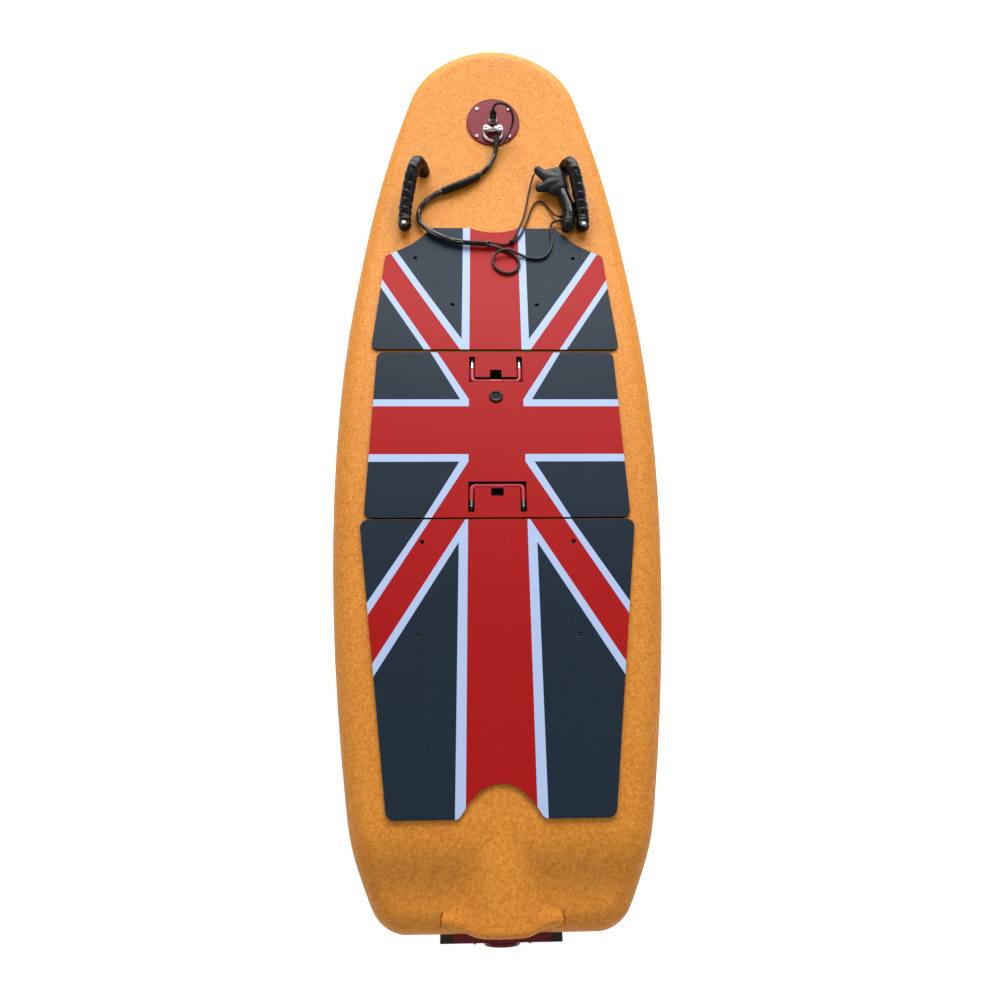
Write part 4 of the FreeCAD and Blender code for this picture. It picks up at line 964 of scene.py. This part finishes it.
markLook = {"radius": 0.0075, "above": 0.6, "places": (
    (0.001, 0.899), (-0.167, 0.678), (-0.045, 0.507), (-0.218, 0.409), (0.201, 0.41), (-0.263, -0.092),
    (0.266, -0.092), (-0.147, -0.888), (0.144, -0.886))}
hullTree = BVHTree.FromPolygons(
    [v.co for v in nodes["hull"].data.vertices], [p.vertices for p in nodes["hull"].data.polygons])
marks = [hullTree.ray_cast(Vector((x, y, markLook["above"])), Vector((0, 0, -1)))[:2]
         for x, y in markLook["places"]]
grow(facingPoints("foamMarks", marks), makeMarkTree(), {
    "Radius": markLook["radius"], "Finish": finish["foamMark"]},
     "foamMarks", finish["foamMark"])

# Pump outlet
outletLook = {"place": (0, -0.88778, 0.05), "screwX": 0.042, "screwY": -0.94778, "screwZ": (0.026, 0.074)}
backward = Vector((0, -1, 0))
settle(turned("nozzleRing", [
    (0.028, 0.0), (0.028, 0.06), (0.0274, 0.0606), (0.0274, 0.063), (0.028, 0.0636), (0.028, 0.0672),
    (0.0272, 0.0682), (0.024, 0.0682), (0.023, 0.0672), (0.023, 0.024), (0.0272, 0.0)],
    finish["darkRedMetal"], 72, tiltedTo(Vector(outletLook["place"]), backward), closed=True),
    "board", "pump_nozzle")
screws("outletScrews", [(Vector((x, outletLook["screwY"], z)), backward)
                        for x in (-outletLook["screwX"], outletLook["screwX"]) for z in outletLook["screwZ"]],
       0.004, 0.0026)
print("deck and pump details made")

# Floor, light and camera. Each lamp has a name, place, target, size and power in watts.
stageLook = {"floorColor": (0.86, 0.86, 0.86, 1), "floorGlow": 0.8, "floorHalf": 12, "worldStrength": 0.17,
             "worldShine": 0.36, "lamps": (
                 ("noseLamp", (0.1, 2.4, 1.9), (0.0, 0.2, 0.1), (3.0, 1.6), 126.0),
                 ("leftLamp", (-2.2, -0.2, 1.6), (0.0, -0.2, 0.1), (1.2, 1.2), 11.0),
                 ("rightLamp", (2.2, -0.2, 1.6), (0.0, -0.2, 0.1), (1.2, 1.2), 11.0),
                 ("tailLamp", (0.0, -1.75, 1.05), (0.0, -0.9, 0.1), (1.2, 0.6), 3.6))}
white = (1, 1, 1, 1)
half = stageLook["floorHalf"]
floorMesh = bpy.data.meshes.new("floor")
floorMesh.from_pydata([(-half, -half, 0), (half, -half, 0), (half, half, 0), (-half, half, 0)], [], [(0, 1, 2, 3)])
floorMaterial = bpy.data.materials.new("paleFloor")
floorMaterial.use_nodes = True
floorTree = floorMaterial.node_tree
floorShader = floorTree.nodes["Principled BSDF"]
for key, value in (("Roughness", 0.9), ("Specular IOR Level", 0.1), ("Base Color", stageLook["floorColor"]),
                   ("Emission Color", white)):
    floorShader.inputs[key].default_value = value
rays = addNode(floorTree, "ShaderNodeLightPath").outputs
seen = calc(floorTree, "MAXIMUM", rays["Is Camera Ray"], rays["Is Glossy Ray"])
seen = calc(floorTree, "MAXIMUM", seen, rays["Is Transmission Ray"])
glow = calc(floorTree, "MULTIPLY", seen, stageLook["floorGlow"])
floorTree.links.new(glow.outputs[0], floorShader.inputs["Emission Strength"])
floor = addObject("floor", floorMesh, floorMaterial, False)

world = bpy.data.worlds.new("studio")
bpy.context.scene.world = world
world.use_nodes = True
background = world.node_tree.nodes["Background"]
background.inputs["Color"].default_value = white
glossy = addNode(world.node_tree, "ShaderNodeLightPath").outputs["Is Glossy Ray"]
deliver(world.node_tree, background, Strength=remap(
    world.node_tree, glossy, 0.0, 1.0, stageLook["worldStrength"], stageLook["worldShine"]))

for name, place, target, size, power in stageLook["lamps"]:
    lamp = bpy.data.lights.new(name, "AREA")
    lamp.shape = "RECTANGLE"
    lamp.size, lamp.size_y = size
    lamp.energy = power
    holder = linked(name, lamp)
    holder.location = place
    holder.rotation_euler = (Vector(target) - Vector(place)).to_track_quat("-Z", "Y").to_euler()

# The camera was recovered from the straight stripes of the deck
cameraLook = {"place": (-0.0256, -0.7662, 1.2652), "lens": 23.575, "sensor": 36, "right": (0.9997, -0.014, 0.0206),
              "up": (0.0039, 0.9041, 0.4274), "back": (-0.0246, -0.4272, 0.9039)}
cameraData = bpy.data.cameras.new("photoCamera")
cameraData.lens = cameraLook["lens"]
cameraData.sensor_width = cameraLook["sensor"]
camera = linked("photoCamera", cameraData)
turn = Matrix((cameraLook["right"], cameraLook["up"], cameraLook["back"])).transposed()
camera.matrix_world = Matrix.Translation(cameraLook["place"]) @ turn.to_4x4()
bpy.context.scene.camera = camera
bpy.context.scene.view_settings.view_transform = "Standard"
print("stage set")
